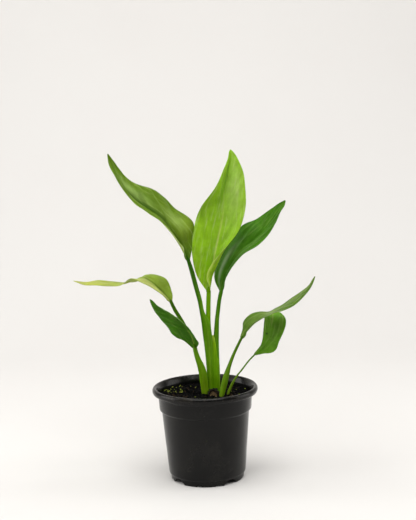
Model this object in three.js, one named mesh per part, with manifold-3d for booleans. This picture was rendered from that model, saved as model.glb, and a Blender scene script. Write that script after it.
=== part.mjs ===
// Young bird of paradise plant in a black nursery pot.
// Millimetres, +Z up. The origin is on the pot's axis, at the plane its feet stand on.
// +X is to the right and -Y towards the viewer when the plant is seen from the front.
import * as THREE from 'three';
import { mergeVertices } from 'three/addons/utils/BufferGeometryUtils.js';
import Module from 'manifold-3d';

const wasm = await Module();
wasm.setup();

// ---- driving dimensions: pot ----
const POT = {
  height: 95.2,        // feet to rim crest
  wall: 1.3,           // moulded wall thickness
  footRadius: 37.4,    // foot ring, outside
  footWidth: 1.5,      // foot ring, where it stands
  footHeight: 5.6,     // top of the recessed foot ring
  bodyBottom: 39.5,    // body radius just above the foot ring
  bodyBottomZ: 7.8,
  bodyTop: 44.9,       // body radius just under the stacking step
  stepZ: 71.5,         // underside of the stacking step
  bandBottom: 47.2,    // collar radius above the step
  bandBottomZ: 74,
  bandTop: 48.3,       // collar radius under the rim lip
  bandTopZ: 89.4,
  lipRadius: 54,       // widest radius of the rolled lip
  lipZ: 92,
  lipLowerZ: 88.9,     // lower edge of the lip
  lipTuck: 3,          // how far the hollow under the lip lies inside its edge
  crestRadius: 51.6,
  floorUnder: 1.5,     // underside of the floor, above the feet
  floorTop: 3.1,
  segments: 40,
};
const FOOT_QUARTERS = 4;       // the foot's openings repeat in each quarter
const FIRST_ARCH_TURN = 38.5;  // degrees to the right of the front
// openings of one quarter: degrees on from its arch, radius of the round bar that cuts it, height
const FOOT_OPENINGS = [
  { turn: 0, radius: 9.75, height: 4.8 },      // drainage arch
  { turn: 38, radius: 2.6, height: 2 },        // narrow notch
  { turn: -21.5, radius: 5.4, height: 2.1 },   // shallow notch
];
const BAR_SIDES = 32;
const EDGE = 0.5;              // small steps and roundings of the pot's profile
const SAG = { drop: 1.5, from: -48, full: -30, to: 9 };  // pressed-down stretch of lip, degrees

// ---- driving dimensions: plant ----
const GAP = 0.3;               // between touching pieces
const SOIL_Z = 86;             // mean height of the soil's surface
const SOIL_RELIEF = 0.9;
const SOIL_RINGS = 5;
const BLADE_HALF_THICKNESS = 0.45;
const MARGIN_HALF_THICKNESS = 0.28;
const BLADE_STEPS = 18;        // along a blade
const HALF_STEPS = 3;          // across each half of a blade
const STALK_STEPS = 13;
const STALK_SIDES = 8;

const DEGREE = Math.PI / 180;

// Each leaf, from its base to its tip.
// stalk rows: x, y, z of the centre line, then width across and depth front to back.
// blade rows: x, y, z of the midrib, then width, swing and curl of the left half, then of the right.
// A half's width is measured along its surface from midrib to margin. Its swing is how far it turns
// towards the viewer, in degrees, and its curl is how much it turns on between midrib and margin.
const LEAVES = [
  {
    name: 'short_left', colour: 0x2f6a0c,
    stalk: [
      [0.2, -0.5, 80, 7, 4.6], [-0.2, -0.4, 88, 7.2, 4.6], [-1.1, -1, 100, 8.2, 4.6],
      [-2.2, -1.8, 110, 8.2, 4.4], [-4, -2.4, 117, 7.2, 4.2], [-6.1, -3, 123, 5.9, 4],
      [-8, -3.5, 129.5, 5.1, 3.8], [-9.2, -4, 135.4, 4.6, 3.6],
    ],
    blade: [
      [-9.4, -4.1, 136.2, 2.6, 0, 0, 2.4, 20, 0],
      [-11.6, -7, 146.5, 9.6, -8, -20, 10.5, 62, 10],
      [-14.9, -9, 153.9, 15.5, -12, -25, 12, 68, 10],
      [-19.5, -11, 161.1, 17.5, -15, -25, 12.5, 70, 10],
      [-26.8, -13, 168.3, 15.5, -20, -25, 11.5, 70, 10],
      [-34.5, -15, 174.7, 13, -20, -20, 9.5, 68, 10],
      [-41.3, -17, 179.3, 9, -20, -15, 6, 68, 5],
      [-47.3, -19, 184.3, 4.6, -15, -10, 3, 62, 0],
      [-52.4, -20, 189.7, 0.5, 0, 0, 0.5, 0, 0],
    ],
  },
  {
    name: 'long_right', colour: 0x4a7a24,
    stalk: [
      [15.2, -11.8, 80, 4.6, 4.2], [16.2, -12, 86, 5, 4.4], [17.6, -11.2, 92, 5.8, 4.6],
      [20.4, -10.2, 103, 6.5, 4.6], [22.2, -9.6, 109, 5.8, 4.4], [25.1, -9, 117.5, 4.1, 3.8],
      [29.2, -8.5, 127.6, 3.3, 3.3], [33.4, -8, 136.3, 3, 3], [37.7, -8, 144.6, 2.8, 2.8],
    ],
    blade: [
      [38.1, -8, 145.4, 1.6, 0, 0, 1.6, 10, 0],
      [41.8, -9, 151.3, 4, -35, 0, 4.5, 70, 0],
      [45.2, -10, 155.5, 9.5, -42, -20, 8, 96, 0],
      [51, -11, 161.3, 12, -54, -20, 10, 102, 0],
      [58.1, -12, 165.9, 13, -74, -15, 11.5, 102, 0],
      [65.2, -13, 169.5, 13, -94, -10, 12, 100, 0],
      [72.2, -14, 173.2, 12.5, -94, 0, 12, 97, 0],
      [80.2, -15, 177, 12, -92, 0, 12, 90, 0],
      [90.3, -16, 182.9, 10.5, -84, 10, 10.5, 82, -10],
      [100.3, -17, 191.1, 7.5, -85, 10, 7.5, 80, -10],
      [107.3, -18, 198.6, 4, -84, 0, 4, 76, 0],
      [112.3, -19, 207.9, 0.5, -60, 0, 0.5, 60, 0],
    ],
  },
  {
    name: 'cupped_right', colour: 0x4c8a1c,
    stalk: [
      [21.6, -5.8, 80, 3, 3], [22.8, -5.3, 86, 3, 3], [24.6, -4, 91, 2.9, 2.9],
      [28.8, -3, 99, 2.5, 2.5], [33.4, -1, 105.5, 1.9, 2], [37.7, 0, 110.4, 1.8, 1.9],
      [45.3, 1.6, 119.5, 1.7, 1.8], [50.9, 2, 125, 1.8, 1.8],
    ],
    blade: [
      [51.6, 2, 125.7, 1.2, 0, 0, 1.2, 0, 0],
      [57.7, 2, 131.1, 3, 30, 10, 6, 10, 10],
      [63.3, 1, 136.6, 5.6, 26, 20, 11.5, 10, 20],
      [67.3, 0, 143.9, 8.4, 28, 20, 10.7, 12, 25],
      [69.7, 0, 152.1, 10, 28, 20, 12.5, 14, 30],
      [71.3, 1, 160.2, 10, 20, 20, 13.2, 10, 30],
      [71.7, 4.4, 166.2, 8.6, 5, 10, 10, -5, 15],
      [71.2, 9, 167.2, 5.5, 0, 0, 6, 0, 0],
      [70.2, 14, 163.5, 0.5, 0, 0, 0.5, 0, 0],
    ],
  },
  {
    name: 'upper_left', colour: 0x4f7d16,
    stalk: [
      [5.3, 3, 80, 6.4, 7], [5.3, 3, 95, 6.4, 7], [5.2, 2.6, 110, 6.5, 6.8],
      [4.9, 1.8, 128, 7.7, 6.6], [4, 0.6, 147.5, 9.4, 5.6], [2.2, -0.4, 161.5, 8.4, 4.6],
      [-0.9, -1, 172, 4.9, 4.4], [-2.9, -2, 184.5, 4.8, 4.3], [-6.6, -3, 200, 4.8, 4.2],
      [-10, -4.3, 214.7, 4.6, 4], [-12.9, -5.9, 225.5, 3.9, 3.6],
    ],
    blade: [
      [-13.2, -6.1, 226.3, 1.9, 20, 0, 2, -10, 0],
      [-18.4, -11, 239.1, 7, 96, 0, 13.5, -30, -20],
      [-24.1, -15, 249.3, 15, 98, 10, 24.5, -27, -40],
      [-33.4, -20, 263.5, 18.5, 97, 15, 25.5, -55, -40],
      [-42.3, -24, 274, 19.5, 96, 15, 24, -53, -35],
      [-53.5, -28, 282.5, 18, 95, 15, 22, -44, -30],
      [-65.2, -31, 292.4, 14, 92, 10, 17.5, -46, -25],
      [-74.8, -33, 305.4, 9, 88, 0, 11, -53, -15],
      [-81.9, -34, 319.2, 5, 76, 0, 6, -42, -5],
      [-87.2, -35, 335.3, 0.5, 0, 0, 0.5, 0, 0],
    ],
  },
  {
    name: 'right', colour: 0x2c5f10,
    stalk: [
      [12.1, 4, 80, 6.9, 7.2], [12.1, 4, 95, 6.9, 7], [12.2, 4, 110, 6.9, 6.6],
      [12.1, 4, 125, 6.6, 6.2], [12.4, 4.6, 138, 6, 5.6], [13.1, 5.2, 150, 5.3, 5],
      [14.1, 6, 163, 4.6, 4.4], [15.2, 6, 171, 4.4, 4.2], [16.9, 6, 182.6, 4.3, 4.1],
      [18.9, 6, 190.9, 4.2, 4],
    ],
    blade: [
      [19.2, 6, 191.8, 1.9, -10, 0, 1.6, 30, 0],
      [21.6, 6, 202, 10.2, -22, -30, 6.5, 78, 0],
      [25.4, 6, 211.7, 14.5, -35, -40, 14, 86, 10],
      [32.5, 5, 222.9, 17.5, -38, -40, 16, 87, 15],
      [41.8, 4, 234, 19.5, -40, -35, 17, 84, 20],
      [53.6, 3, 244, 20.5, -32, -30, 17, 74, 20],
      [64.4, 2, 253.9, 17, -44, -25, 15, 72, 15],
      [73, 0, 265, 12, -46, -15, 11, 71, 10],
      [80.6, -2, 276, 5.5, -40, -5, 5, 67, 0],
      [85.4, -3, 283, 0.5, 0, 0, 0.5, 0, 0],
    ],
  },
  {
    name: 'centre', colour: 0x6fa01a,
    stalk: [
      [8.3, 8, 80, 6.8, 5.4], [8.2, 8, 100, 6.6, 5.2], [7.2, 7, 125, 6, 5],
      [5.8, 5, 145, 5.2, 4.6], [5.2, 3.8, 160.5, 4.8, 4.4], [5.5, 2.9, 174, 4.7, 4.3],
      [5.9, 2.2, 183, 4.6, 4.2], [6.4, 2, 192.3, 4.4, 4],
    ],
    blade: [
      [5.8, 1, 193.2, 2, 0, 0, 2, 40, 0],
      [8.3, 1.4, 205.1, 13.2, 8, -10, 10, 120, 150],
      [11.1, 2, 219.4, 20.6, 12, -20, 15.5, 102, 160],
      [14.2, 2, 232.5, 25, 12, -20, 16.5, 72, 115],
      [17.5, 3, 246.5, 26.5, 12, -15, 17.5, 40, 60],
      [21.6, 4, 262.5, 26.5, 11, 0, 21, 22, 20],
      [24.2, 6, 278.5, 24.5, 30, 10, 22.5, 18, 0],
      [25.8, 8, 294.5, 21.5, 60, 10, 21.5, 17, -10],
      [29.5, 10, 312.4, 14, 66, 5, 16.5, 18, -10],
      [32, 12, 327.3, 5, 64, 0, 7.2, 18, 0],
      [32.5, 13, 334.7, 0.5, 20, 0, 0.5, 20, 0],
    ],
  },
  {
    name: 'long_left', colour: 0x93a548,
    stalk: [
      [0.4, 8.6, 80, 5.2, 4.6], [-0.2, 8.4, 90, 5, 4.4], [-2.4, 8, 104.5, 4.6, 4.2],
      [-6, 8, 120.5, 4.1, 3.8], [-10.6, 8, 136, 4.2, 3.6], [-15.9, 8, 149, 4.2, 3.6],
      [-20.8, 8, 159.8, 4.3, 3.6], [-24.2, 8, 166, 4.3, 3.6], [-28.6, 8.4, 173.8, 4.1, 3.4],
      [-31.9, 9, 181.2, 3.8, 3.2],
    ],
    blade: [
      [-32.1, 9, 182, 1.3, 30, 0, 1.3, -20, 0],
      [-36.3, 10, 187.1, 6.5, 77, 0, 8, -40, -20],
      [-44.8, 12, 195.9, 13, 80, 0, 14.5, -39, -35],
      [-54, 14, 203.8, 16, 75, 0, 16, -65, -30],
      [-61.4, 15, 206.7, 17, 78, 0, 17, -86, -20],
      [-69.7, 16, 204.5, 17, 96, 0, 17, -97, 0],
      [-81.2, 17, 201, 16.5, 84, -10, 16.5, -88, 10],
      [-94.7, 18, 201.4, 15.5, 80, -10, 15, -84, 10],
      [-107.9, 18, 202.9, 14, 78, -10, 12, -82, 10],
      [-120.3, 18, 202.5, 9, 78, 0, 7, -84, 0],
      [-132.3, 18, 205, 0.5, 80, 0, 0.5, -80, 0],
    ],
  },
];

// Stump of an old leaf base: centre line and radius, lying towards the viewer.
const STUMP = [[9.2, -0.6, 85, 5.2], [8.8, -5, 87.2, 5.3], [8.3, -8.6, 88.3, 4.9], [8, -11, 88.8, 4.3]];

// ---- curves and frames ----

// Smooth curve through the rows of a table; every column is interpolated alike.
function sampleRows(rows, t) {
  const last = rows.length - 1;
  const place = Math.min(t * last, last - 1e-9);
  const i = Math.floor(place);
  const u = place - i;
  const row = (k) => rows[Math.min(Math.max(k, 0), last)];
  return row(i).map((_, column) => {
    const [p0, p1, p2, p3] = [i - 1, i, i + 1, i + 2].map((k) => row(k)[column]);
    return 0.5 * (2 * p1 + (p2 - p0) * u + (2 * p0 - 5 * p1 + 4 * p2 - p3) * u * u
      + (3 * p1 - p0 - 3 * p2 + p3) * u * u * u);
  });
}

// Stations along a centre line, each with its row and a frame that doesn't spin:
// ahead (towards the tip), front (towards the viewer where it can) and right.
function stationsAlong(rows, steps) {
  const samples = [];
  for (let i = 0; i <= steps; i += 1) samples.push(sampleRows(rows, i / steps));
  const points = samples.map((s) => new THREE.Vector3(s[0], s[1], s[2]));
  let front = new THREE.Vector3(0, -1, 0);
  return samples.map((row, i) => {
    const ahead = points[Math.min(i + 1, steps)].clone().sub(points[Math.max(i - 1, 0)]).normalize();
    front = front.clone().addScaledVector(ahead, -front.dot(ahead)).normalize();
    const right = ahead.clone().cross(front);
    return { row, point: points[i], ahead, front, right };
  });
}

// Closed solid lofted through rings that all have the same number of points.
// The rings run counter-clockwise when seen from the last ring. The first so many sides of a ring
// have their faces split the other way, so that the two faces of a thin sheet are split alike.
function loft(rings, splitOtherWay = 0) {
  const count = rings[0].length;
  const positions = rings.flat().flatMap((p) => [p.x, p.y, p.z]);
  const indices = [];
  for (let i = 0; i + 1 < rings.length; i += 1) {
    for (let j = 0; j < count; j += 1) {
      const [a, b] = [i * count + j, i * count + ((j + 1) % count)];
      if (j < splitOtherWay) indices.push(a, b, a + count, b, b + count, a + count);
      else indices.push(a, b, b + count, a, b + count, a + count);
    }
  }
  const capCentre = (ring) => {
    const centre = new THREE.Vector3();
    ring.forEach((p) => centre.addScaledVector(p, 1 / count));
    positions.push(centre.x, centre.y, centre.z);
    return positions.length / 3 - 1;
  };
  const first = capCentre(rings[0]);
  const end = capCentre(rings[rings.length - 1]);
  const lastRing = (rings.length - 1) * count;
  for (let j = 0; j < count; j += 1) {
    const next = (j + 1) % count;
    indices.push(first, next, j, end, lastRing + j, lastRing + next);
  }
  const geometry = new THREE.BufferGeometry();
  geometry.setAttribute('position', new THREE.Float32BufferAttribute(positions, 3));
  geometry.setIndex(indices);
  return geometry;
}

// Point and surface direction across one half of a blade, at fraction s from midrib to margin.
// side is -1 for the left half and +1 for the right.
function acrossHalf(station, side, width, swing, curl, s) {
  const start = (swing - curl / 2) * DEGREE;
  const turn = curl * s * DEGREE;
  const angle = start + turn;
  const bend = Math.abs(turn) < 1e-6 ? 0 : (width * s) / turn;
  const along = bend ? bend * (Math.sin(angle) - Math.sin(start)) : width * s * Math.cos(start);
  const forward = bend ? bend * (Math.cos(start) - Math.cos(angle)) : width * s * Math.sin(start);
  const point = station.point.clone()
    .addScaledVector(station.right, side * along)
    .addScaledVector(station.front, forward);
  const direction = station.right.clone().multiplyScalar(side * Math.cos(angle))
    .addScaledVector(station.front, Math.sin(angle));
  const face = side > 0 ? station.ahead.clone().cross(direction) : direction.clone().cross(station.ahead);
  return { point, face: face.multiplyScalar(-1).normalize() };
}

function bladeGeometry(rows) {
  const rings = stationsAlong(rows, BLADE_STEPS).map((station) => {
    const [, , , leftWidth, leftSwing, leftCurl, rightWidth, rightSwing, rightCurl] = station.row;
    const across = [];
    for (let k = -HALF_STEPS; k <= HALF_STEPS; k += 1) {
      const s = Math.abs(k) / HALF_STEPS;
      const sample = k < 0
        ? acrossHalf(station, -1, leftWidth, leftSwing, leftCurl, s)
        : acrossHalf(station, 1, rightWidth, rightSwing, rightCurl, s);
      if (k === 0) {
        const left = acrossHalf(station, -1, leftWidth, leftSwing, leftCurl, 0);
        sample.face.add(left.face).normalize();
      }
      sample.half = THREE.MathUtils.lerp(BLADE_HALF_THICKNESS, MARGIN_HALF_THICKNESS, s);
      across.push(sample);
    }
    const offset = (sample, sign) => sample.point.clone().addScaledVector(sample.face, sign * sample.half);
    const upper = across.map((sample) => offset(sample, 1));
    const lower = across.map((sample) => offset(sample, -1)).reverse();
    return [...lower, ...upper];
  });
  return loft(rings, 2 * HALF_STEPS);
}

// inflate adds clearance all round, for cutting a neighbour.
function stalkGeometry(rows, inflate = 0) {
  const rings = stationsAlong(rows, STALK_STEPS).map(({ row, point, front, right }) => {
    const ring = [];
    for (let j = 0; j < STALK_SIDES; j += 1) {
      const angle = (j / STALK_SIDES) * 2 * Math.PI;
      ring.push(point.clone()
        .addScaledVector(right, (row[3] / 2 + inflate) * Math.cos(angle))
        .addScaledVector(front, -(row[4] / 2 + inflate) * Math.sin(angle)));
    }
    return ring;
  });
  return loft(rings);
}

// ---- solids ----

function toSolid(geometry) {
  const bare = geometry.clone();
  bare.deleteAttribute('normal');
  bare.deleteAttribute('uv');
  const merged = mergeVertices(bare, 1e-4);
  return new wasm.Manifold(new wasm.Mesh({
    numProp: 3,
    vertProperties: Float32Array.from(merged.attributes.position.array),
    triVerts: Uint32Array.from(merged.index.array),
  }));
}

function toGeometry(solid) {
  const mesh = solid.getMesh();
  const geometry = new THREE.BufferGeometry();
  geometry.setAttribute('position', new THREE.BufferAttribute(mesh.vertProperties, 3));
  geometry.setIndex(new THREE.BufferAttribute(mesh.triVerts, 1));
  return geometry;
}

function cutAway(geometry, cutters) {
  return toGeometry(cutters.reduce((solid, cutter) => solid.subtract(toSolid(cutter)), toSolid(geometry)));
}

// Lathe about the vertical axis from [radius, z] pairs.
function turned(profile, segments) {
  const geometry = new THREE.LatheGeometry(profile.map(([r, z]) => new THREE.Vector2(r, z)), segments);
  return geometry.rotateX(Math.PI / 2);
}

// ---- pot ----

function innerWall() {
  const { wall } = POT;
  return [
    [POT.footRadius - wall + EDGE, POT.floorTop],
    [POT.bodyBottom - wall, POT.bodyBottomZ + EDGE],
    [POT.bodyTop - wall, POT.stepZ + EDGE],
    [POT.bandBottom - wall, POT.bandBottomZ + EDGE],
    [POT.bandTop - wall, POT.bandTopZ],
  ];
}

function lipArc(fromAngle, toAngle, steps) {
  const centre = [POT.crestRadius, POT.lipZ];
  const [reach, rise] = [POT.lipRadius - centre[0], POT.height - POT.lipZ];
  const points = [];
  for (let i = 0; i <= steps; i += 1) {
    const angle = THREE.MathUtils.lerp(fromAngle, toAngle, i / steps) * DEGREE;
    points.push([centre[0] + reach * Math.cos(angle), centre[1] + rise * Math.sin(angle)]);
  }
  return points;
}

function potGeometry() {
  const profile = [
    [0, POT.floorUnder],
    [POT.footRadius - POT.footWidth, POT.floorUnder],
    [POT.footRadius - POT.footWidth, 0],
    [POT.footRadius, 0],
    [POT.footRadius + EDGE, POT.footHeight],
    [POT.bodyBottom - EDGE, POT.footHeight + EDGE],
    [POT.bodyBottom, POT.bodyBottomZ],
    [POT.bodyTop, POT.stepZ],
    [POT.bandBottom - EDGE, POT.stepZ + 2 * EDGE],
    [POT.bandBottom, POT.bandBottomZ],
    [POT.bandTop, POT.bandTopZ],
    [POT.bandTop + 2 * EDGE, POT.bandTopZ + 2 * EDGE],
    [POT.lipRadius - POT.lipTuck, POT.bandTopZ + 2 * EDGE],
    [POT.lipRadius - POT.lipTuck / 2, POT.lipLowerZ],
    ...lipArc(-25, 140, 6),
    ...innerWall().reverse(),
    [0, POT.floorTop],
  ];
  const geometry = turned(profile, POT.segments);
  sagLip(geometry);
  const cutters = [];
  for (let i = 0; i < FOOT_QUARTERS; i += 1) {
    const first = FIRST_ARCH_TURN + (i * 360) / FOOT_QUARTERS;
    for (const { turn, radius, height } of FOOT_OPENINGS) {
      cutters.push(radialCutter(first + turn, radius, height));
    }
  }
  return cutAway(geometry, cutters);
}

// One stretch of the lip's lower edge hangs a little lower and ends in a sharp step.
function sagLip(geometry) {
  const position = geometry.attributes.position;
  for (let i = 0; i < position.count; i += 1) {
    const [x, y, z] = [position.getX(i), position.getY(i), position.getZ(i)];
    const turn = Math.atan2(x, -y) / DEGREE;
    const onLowerEdge = Math.hypot(x, y) > POT.lipRadius - POT.lipTuck + EDGE && z < POT.lipZ - 2 * EDGE;
    if (!onLowerEdge || turn > SAG.to) continue;
    position.setZ(i, z - SAG.drop * THREE.MathUtils.smoothstep(turn, SAG.from, SAG.full));
  }
}

// A round bar through the foot ring, low enough to leave an arch of the given height.
function radialCutter(turn, radius, height) {
  const length = 8 * POT.footWidth;
  const bar = new THREE.CylinderGeometry(radius, radius, length, BAR_SIDES);
  bar.translate(0, -POT.footRadius, height - radius);
  return bar.rotateZ(turn * DEGREE);
}

// ---- soil ----

function soilHeight(x, y) {
  const swell = Math.sin(x * 0.13 + 0.7) * Math.cos(y * 0.11 - 0.4);
  const lumps = Math.sin(x * 0.41 + y * 0.23) * Math.cos(y * 0.37 - x * 0.19);
  return SOIL_Z + SOIL_RELIEF * (0.6 * swell + 0.4 * lumps);
}

function soilGeometry() {
  const side = innerWall().map(([r, z]) => [r - GAP, z]);
  side[0][1] = POT.floorTop + GAP;
  const bandTop = side.pop();
  const step = side[side.length - 1];
  const rise = (SOIL_Z - step[1]) / (bandTop[1] - step[1]);
  const edge = THREE.MathUtils.lerp(step[0], bandTop[0], rise) - GAP;
  const top = [];
  for (let i = SOIL_RINGS; i >= 0; i -= 1) top.push([(edge * i) / SOIL_RINGS, SOIL_Z]);
  const geometry = turned([[0, POT.floorTop + GAP], ...side, ...top], POT.segments);
  const position = geometry.attributes.position;
  for (let i = 0; i < position.count; i += 1) {
    if (position.getZ(i) < SOIL_Z - 0.01) continue;
    position.setZ(i, soilHeight(position.getX(i), position.getY(i)));
  }
  return cutAway(geometry, [
    ...LEAVES.map((leaf) => stalkGeometry(leaf.stalk, GAP)),
    stumpGeometry(GAP),
  ]);
}

// ---- stump ----

function stumpRows() {
  return STUMP.map(([x, y, z, radius]) => [x, y, z, 2 * radius, 2 * radius]);
}

function stumpGeometry(inflate = 0) {
  return stalkGeometry(stumpRows(), inflate);
}

// ---- assembly ----

const plant = new THREE.Group();

function addPart(name, geometry, colour, roughness) {
  const flat = geometry.index ? geometry.toNonIndexed() : geometry;
  flat.computeVertexNormals();
  const material = new THREE.MeshStandardMaterial({ color: colour, roughness, metalness: 0 });
  const mesh = new THREE.Mesh(flat, material);
  mesh.name = name;
  plant.add(mesh);
}

addPart('nursery_pot', potGeometry(), 0x242526, 0.45);
addPart('potting_soil', soilGeometry(), 0x15120f, 0.95);

// Stalks in front keep their full section; those behind are cut clear of them.
const stalksInFront = [];
for (const leaf of LEAVES) {
  addPart(`${leaf.name}_blade`, bladeGeometry(leaf.blade), leaf.colour, 0.42);
  addPart(`${leaf.name}_stalk`, cutAway(stalkGeometry(leaf.stalk), stalksInFront), leaf.colour, 0.45);
  stalksInFront.push(stalkGeometry(leaf.stalk, GAP));
}
addPart('cut_leaf_base', cutAway(stumpGeometry(), stalksInFront), 0x2a2018, 0.9);

export default plant;
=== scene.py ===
# %% [markdown]
# # A potted bird of paradise
# A young bird of paradise (Strelitzia) has long leaf stalks that rise out of one another and broad,
# leathery blades folded along a strong midrib. It stands in a thin black nursery pot full of coarse
# potting soil. Nearly everything here is a swept or a turned surface, so most meshes are rows of
# points joined up, and Geometry Nodes scatter what repeats: the crumbs and chips of the soil and the
# arches of the pot's foot. Lengths in the tables are millimetres, and MM turns them into metres.

# %% Load the frame
import math
import bpy
import numpy as np
from mathutils import Matrix, Vector, noise


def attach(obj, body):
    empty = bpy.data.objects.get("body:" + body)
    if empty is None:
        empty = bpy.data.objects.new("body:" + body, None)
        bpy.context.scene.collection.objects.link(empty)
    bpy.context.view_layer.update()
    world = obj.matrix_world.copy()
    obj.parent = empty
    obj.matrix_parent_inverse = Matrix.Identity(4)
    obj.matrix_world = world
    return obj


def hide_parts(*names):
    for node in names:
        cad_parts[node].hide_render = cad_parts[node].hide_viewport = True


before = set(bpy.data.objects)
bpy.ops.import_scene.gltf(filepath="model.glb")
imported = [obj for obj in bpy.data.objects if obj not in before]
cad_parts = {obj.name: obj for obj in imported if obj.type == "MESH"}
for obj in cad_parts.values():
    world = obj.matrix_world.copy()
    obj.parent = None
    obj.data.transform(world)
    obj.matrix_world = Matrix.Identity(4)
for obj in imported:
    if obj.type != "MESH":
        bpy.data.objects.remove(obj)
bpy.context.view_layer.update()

MM = 0.001

# %% [markdown]
# ## Camera
# The plant is seen from a little over a metre away and from slightly above the rim, so the soil shows
# as a narrow ellipse. A lens a bit longer than normal keeps the pot's sides nearly parallel. The
# camera is turned by a small roll, as a hand-held camera is, and it has no shift.

# %% Camera
CAMERA_PLACE = (0.0, -1.080, 0.368)
CAMERA_YAW = math.radians(0.35)     # to the right
CAMERA_PITCH = math.radians(-7.55)  # downwards
CAMERA_ROLL = math.radians(1.63)
SENSOR = 36.0                       # mm, on the long side
FOCAL_LENGTH = 74.8                 # mm


def camera_turn(yaw, pitch, roll):
    """Rotation of a camera that looks along +Y, turned, tipped and rolled."""
    ahead = Vector((math.sin(yaw) * math.cos(pitch), math.cos(yaw) * math.cos(pitch), math.sin(pitch)))
    level = Vector((math.cos(yaw), -math.sin(yaw), 0))
    upright = level.cross(ahead)
    across = math.cos(roll) * level - math.sin(roll) * upright
    up = math.sin(roll) * level + math.cos(roll) * upright
    return Matrix((across, up, -ahead)).transposed().to_4x4()


camera_data = bpy.data.cameras.new("camera")
camera_data.sensor_width = SENSOR
camera_data.lens = FOCAL_LENGTH
camera_data.clip_start = 0.05
camera = bpy.data.objects.new("camera", camera_data)
camera.matrix_world = Matrix.Translation(CAMERA_PLACE) @ camera_turn(CAMERA_YAW, CAMERA_PITCH, CAMERA_ROLL)
bpy.context.scene.collection.objects.link(camera)
bpy.context.scene.camera = camera
print("camera at", CAMERA_PLACE, "lens", FOCAL_LENGTH, "mm")

# %% [markdown]
# ## Building blocks for materials
# A material is a small tree of nodes. Two helpers keep the recipes short: one adds a node with its
# values, the other gives a colour as painters and screens name it. Effects that several materials
# share are node groups with named inputs, made once.

# %% Node helpers
def srgb(red, green, blue):
    """Linear colour from 0-255 screen values."""
    def linear(value):
        """One channel, from the screen's curve to plain light."""
        part = value / 255
        return part / 12.92 if part <= 0.04045 else ((part + 0.055) / 1.055) ** 2.4
    return (linear(red), linear(green), linear(blue), 1.0)


def add_node(tree, kind, inputs=(), **settings):
    """Adds a node; inputs maps socket names or numbers to a value or to another node's socket."""
    node = tree.nodes.new(kind)
    for name, value in settings.items():
        setattr(node, name, value)
    for name, value in dict(inputs).items():
        if isinstance(value, bpy.types.NodeSocket):
            tree.links.new(value, node.inputs[name])
        else:
            node.inputs[name].default_value = value
    return node


def maths(tree, operation, *values):
    """One Math node; values are numbers or sockets."""
    return add_node(tree, "ShaderNodeMath", dict(enumerate(values)), operation=operation).outputs[0]


def plus(tree, first, second):
    """Sum of two numbers or sockets."""
    return maths(tree, "ADD", first, second)


def times(tree, first, second):
    """Product of two numbers or sockets."""
    return maths(tree, "MULTIPLY", first, second)


def vector(tree, x=0.0, y=0.0, z=0.0):
    """A vector from three numbers or sockets."""
    return add_node(tree, "ShaderNodeCombineXYZ", {0: x, 1: y, 2: z}).outputs[0]


def body_place(tree):
    """Each point's place in the piece's own coordinates, which are the frame's."""
    return add_node(tree, "ShaderNodeTexCoord").outputs["Object"]


def scaled(tree, place, x, y, z):
    """A place scaled along each axis."""
    return add_node(tree, "ShaderNodeMapping", {0: place, 3: (x, y, z)}).outputs[0]


def blend(tree, factor, first, second, way="MIX"):
    """Mixes two colours by a factor."""
    node = add_node(tree, "ShaderNodeMix", {0: factor, 6: first, 7: second},
                    data_type="RGBA", blend_type=way)
    return node.outputs[2]


def span(tree, value, low, high, to_low=0.0, to_high=1.0):
    """Moves a value smoothly from one range to another."""
    node = add_node(tree, "ShaderNodeMapRange", {0: value, 1: low, 2: high, 3: to_low, 4: to_high},
                    interpolation_type="SMOOTHSTEP")
    return node.outputs[0]


def shade(tree, colour, tone):
    """A colour made lighter or darker by a tone around 1."""
    grey = add_node(tree, "ShaderNodeCombineColor", {0: tone, 1: tone, 2: tone}).outputs[0]
    return blend(tree, 1.0, colour, grey, "MULTIPLY")


def speckle(tree, where, size, detail=3.0, roughness=0.55):
    """Noise with blotches of about the given size in mm."""
    node = add_node(tree, "ShaderNodeTexNoise",
                    {"Vector": where, "Scale": 1 / (size * MM), "Detail": detail, "Roughness": roughness})
    return node.outputs["Fac"]


def new_group(name, inputs, outputs):
    """An empty shader node group with named float, colour or vector sockets."""
    tree = bpy.data.node_groups.new(name, "ShaderNodeTree")
    kinds = {"float": "NodeSocketFloat", "color": "NodeSocketColor", "vector": "NodeSocketVector"}
    for label, (kind, value) in inputs.items():
        socket = tree.interface.new_socket(label, in_out="INPUT", socket_type=kinds[kind])
        socket.default_value = value
    for label, kind in outputs.items():
        tree.interface.new_socket(label, in_out="OUTPUT", socket_type=kinds[kind])
    return tree, tree.nodes.new("NodeGroupInput").outputs, tree.nodes.new("NodeGroupOutput").inputs


def new_material(name, gloss):
    """A material with its Principled shader; gloss is the shader's specular level."""
    material = bpy.data.materials.new(name)
    material.use_nodes = True
    tree = material.node_tree
    shader = tree.nodes["Principled BSDF"]
    shader.inputs["Specular IOR Level"].default_value = gloss
    return material, tree, shader


def use_group(tree, group, **inputs):
    """Places a node group; an input's name is written with _ for each space."""
    values = {name.replace("_", " "): value for name, value in inputs.items()}
    return add_node(tree, "ShaderNodeGroup", values, node_tree=group).outputs


def dress(tree, shader, colour, roughness, relief, depth):
    """Joins colour and roughness to the shader, and a bump of a depth in mm from a relief of 0 to 1."""
    tree.links.new(colour, shader.inputs["Base Color"])
    tree.links.new(roughness, shader.inputs["Roughness"])
    node = add_node(tree, "ShaderNodeBump", {"Height": relief, "Distance": depth * MM, "Strength": 1.0})
    tree.links.new(node.outputs["Normal"], shader.inputs["Normal"])


print("node helpers ready")

# %% [markdown]
# ## Building blocks for meshes
# A leaf, a stalk and a stump are all swept forms. A table gives a few rows along the form, a smooth
# curve runs through every column of it, and a frame is carried along the curve without spinning. The
# rings of points that come out are joined by four-sided faces and closed at both ends.

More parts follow.
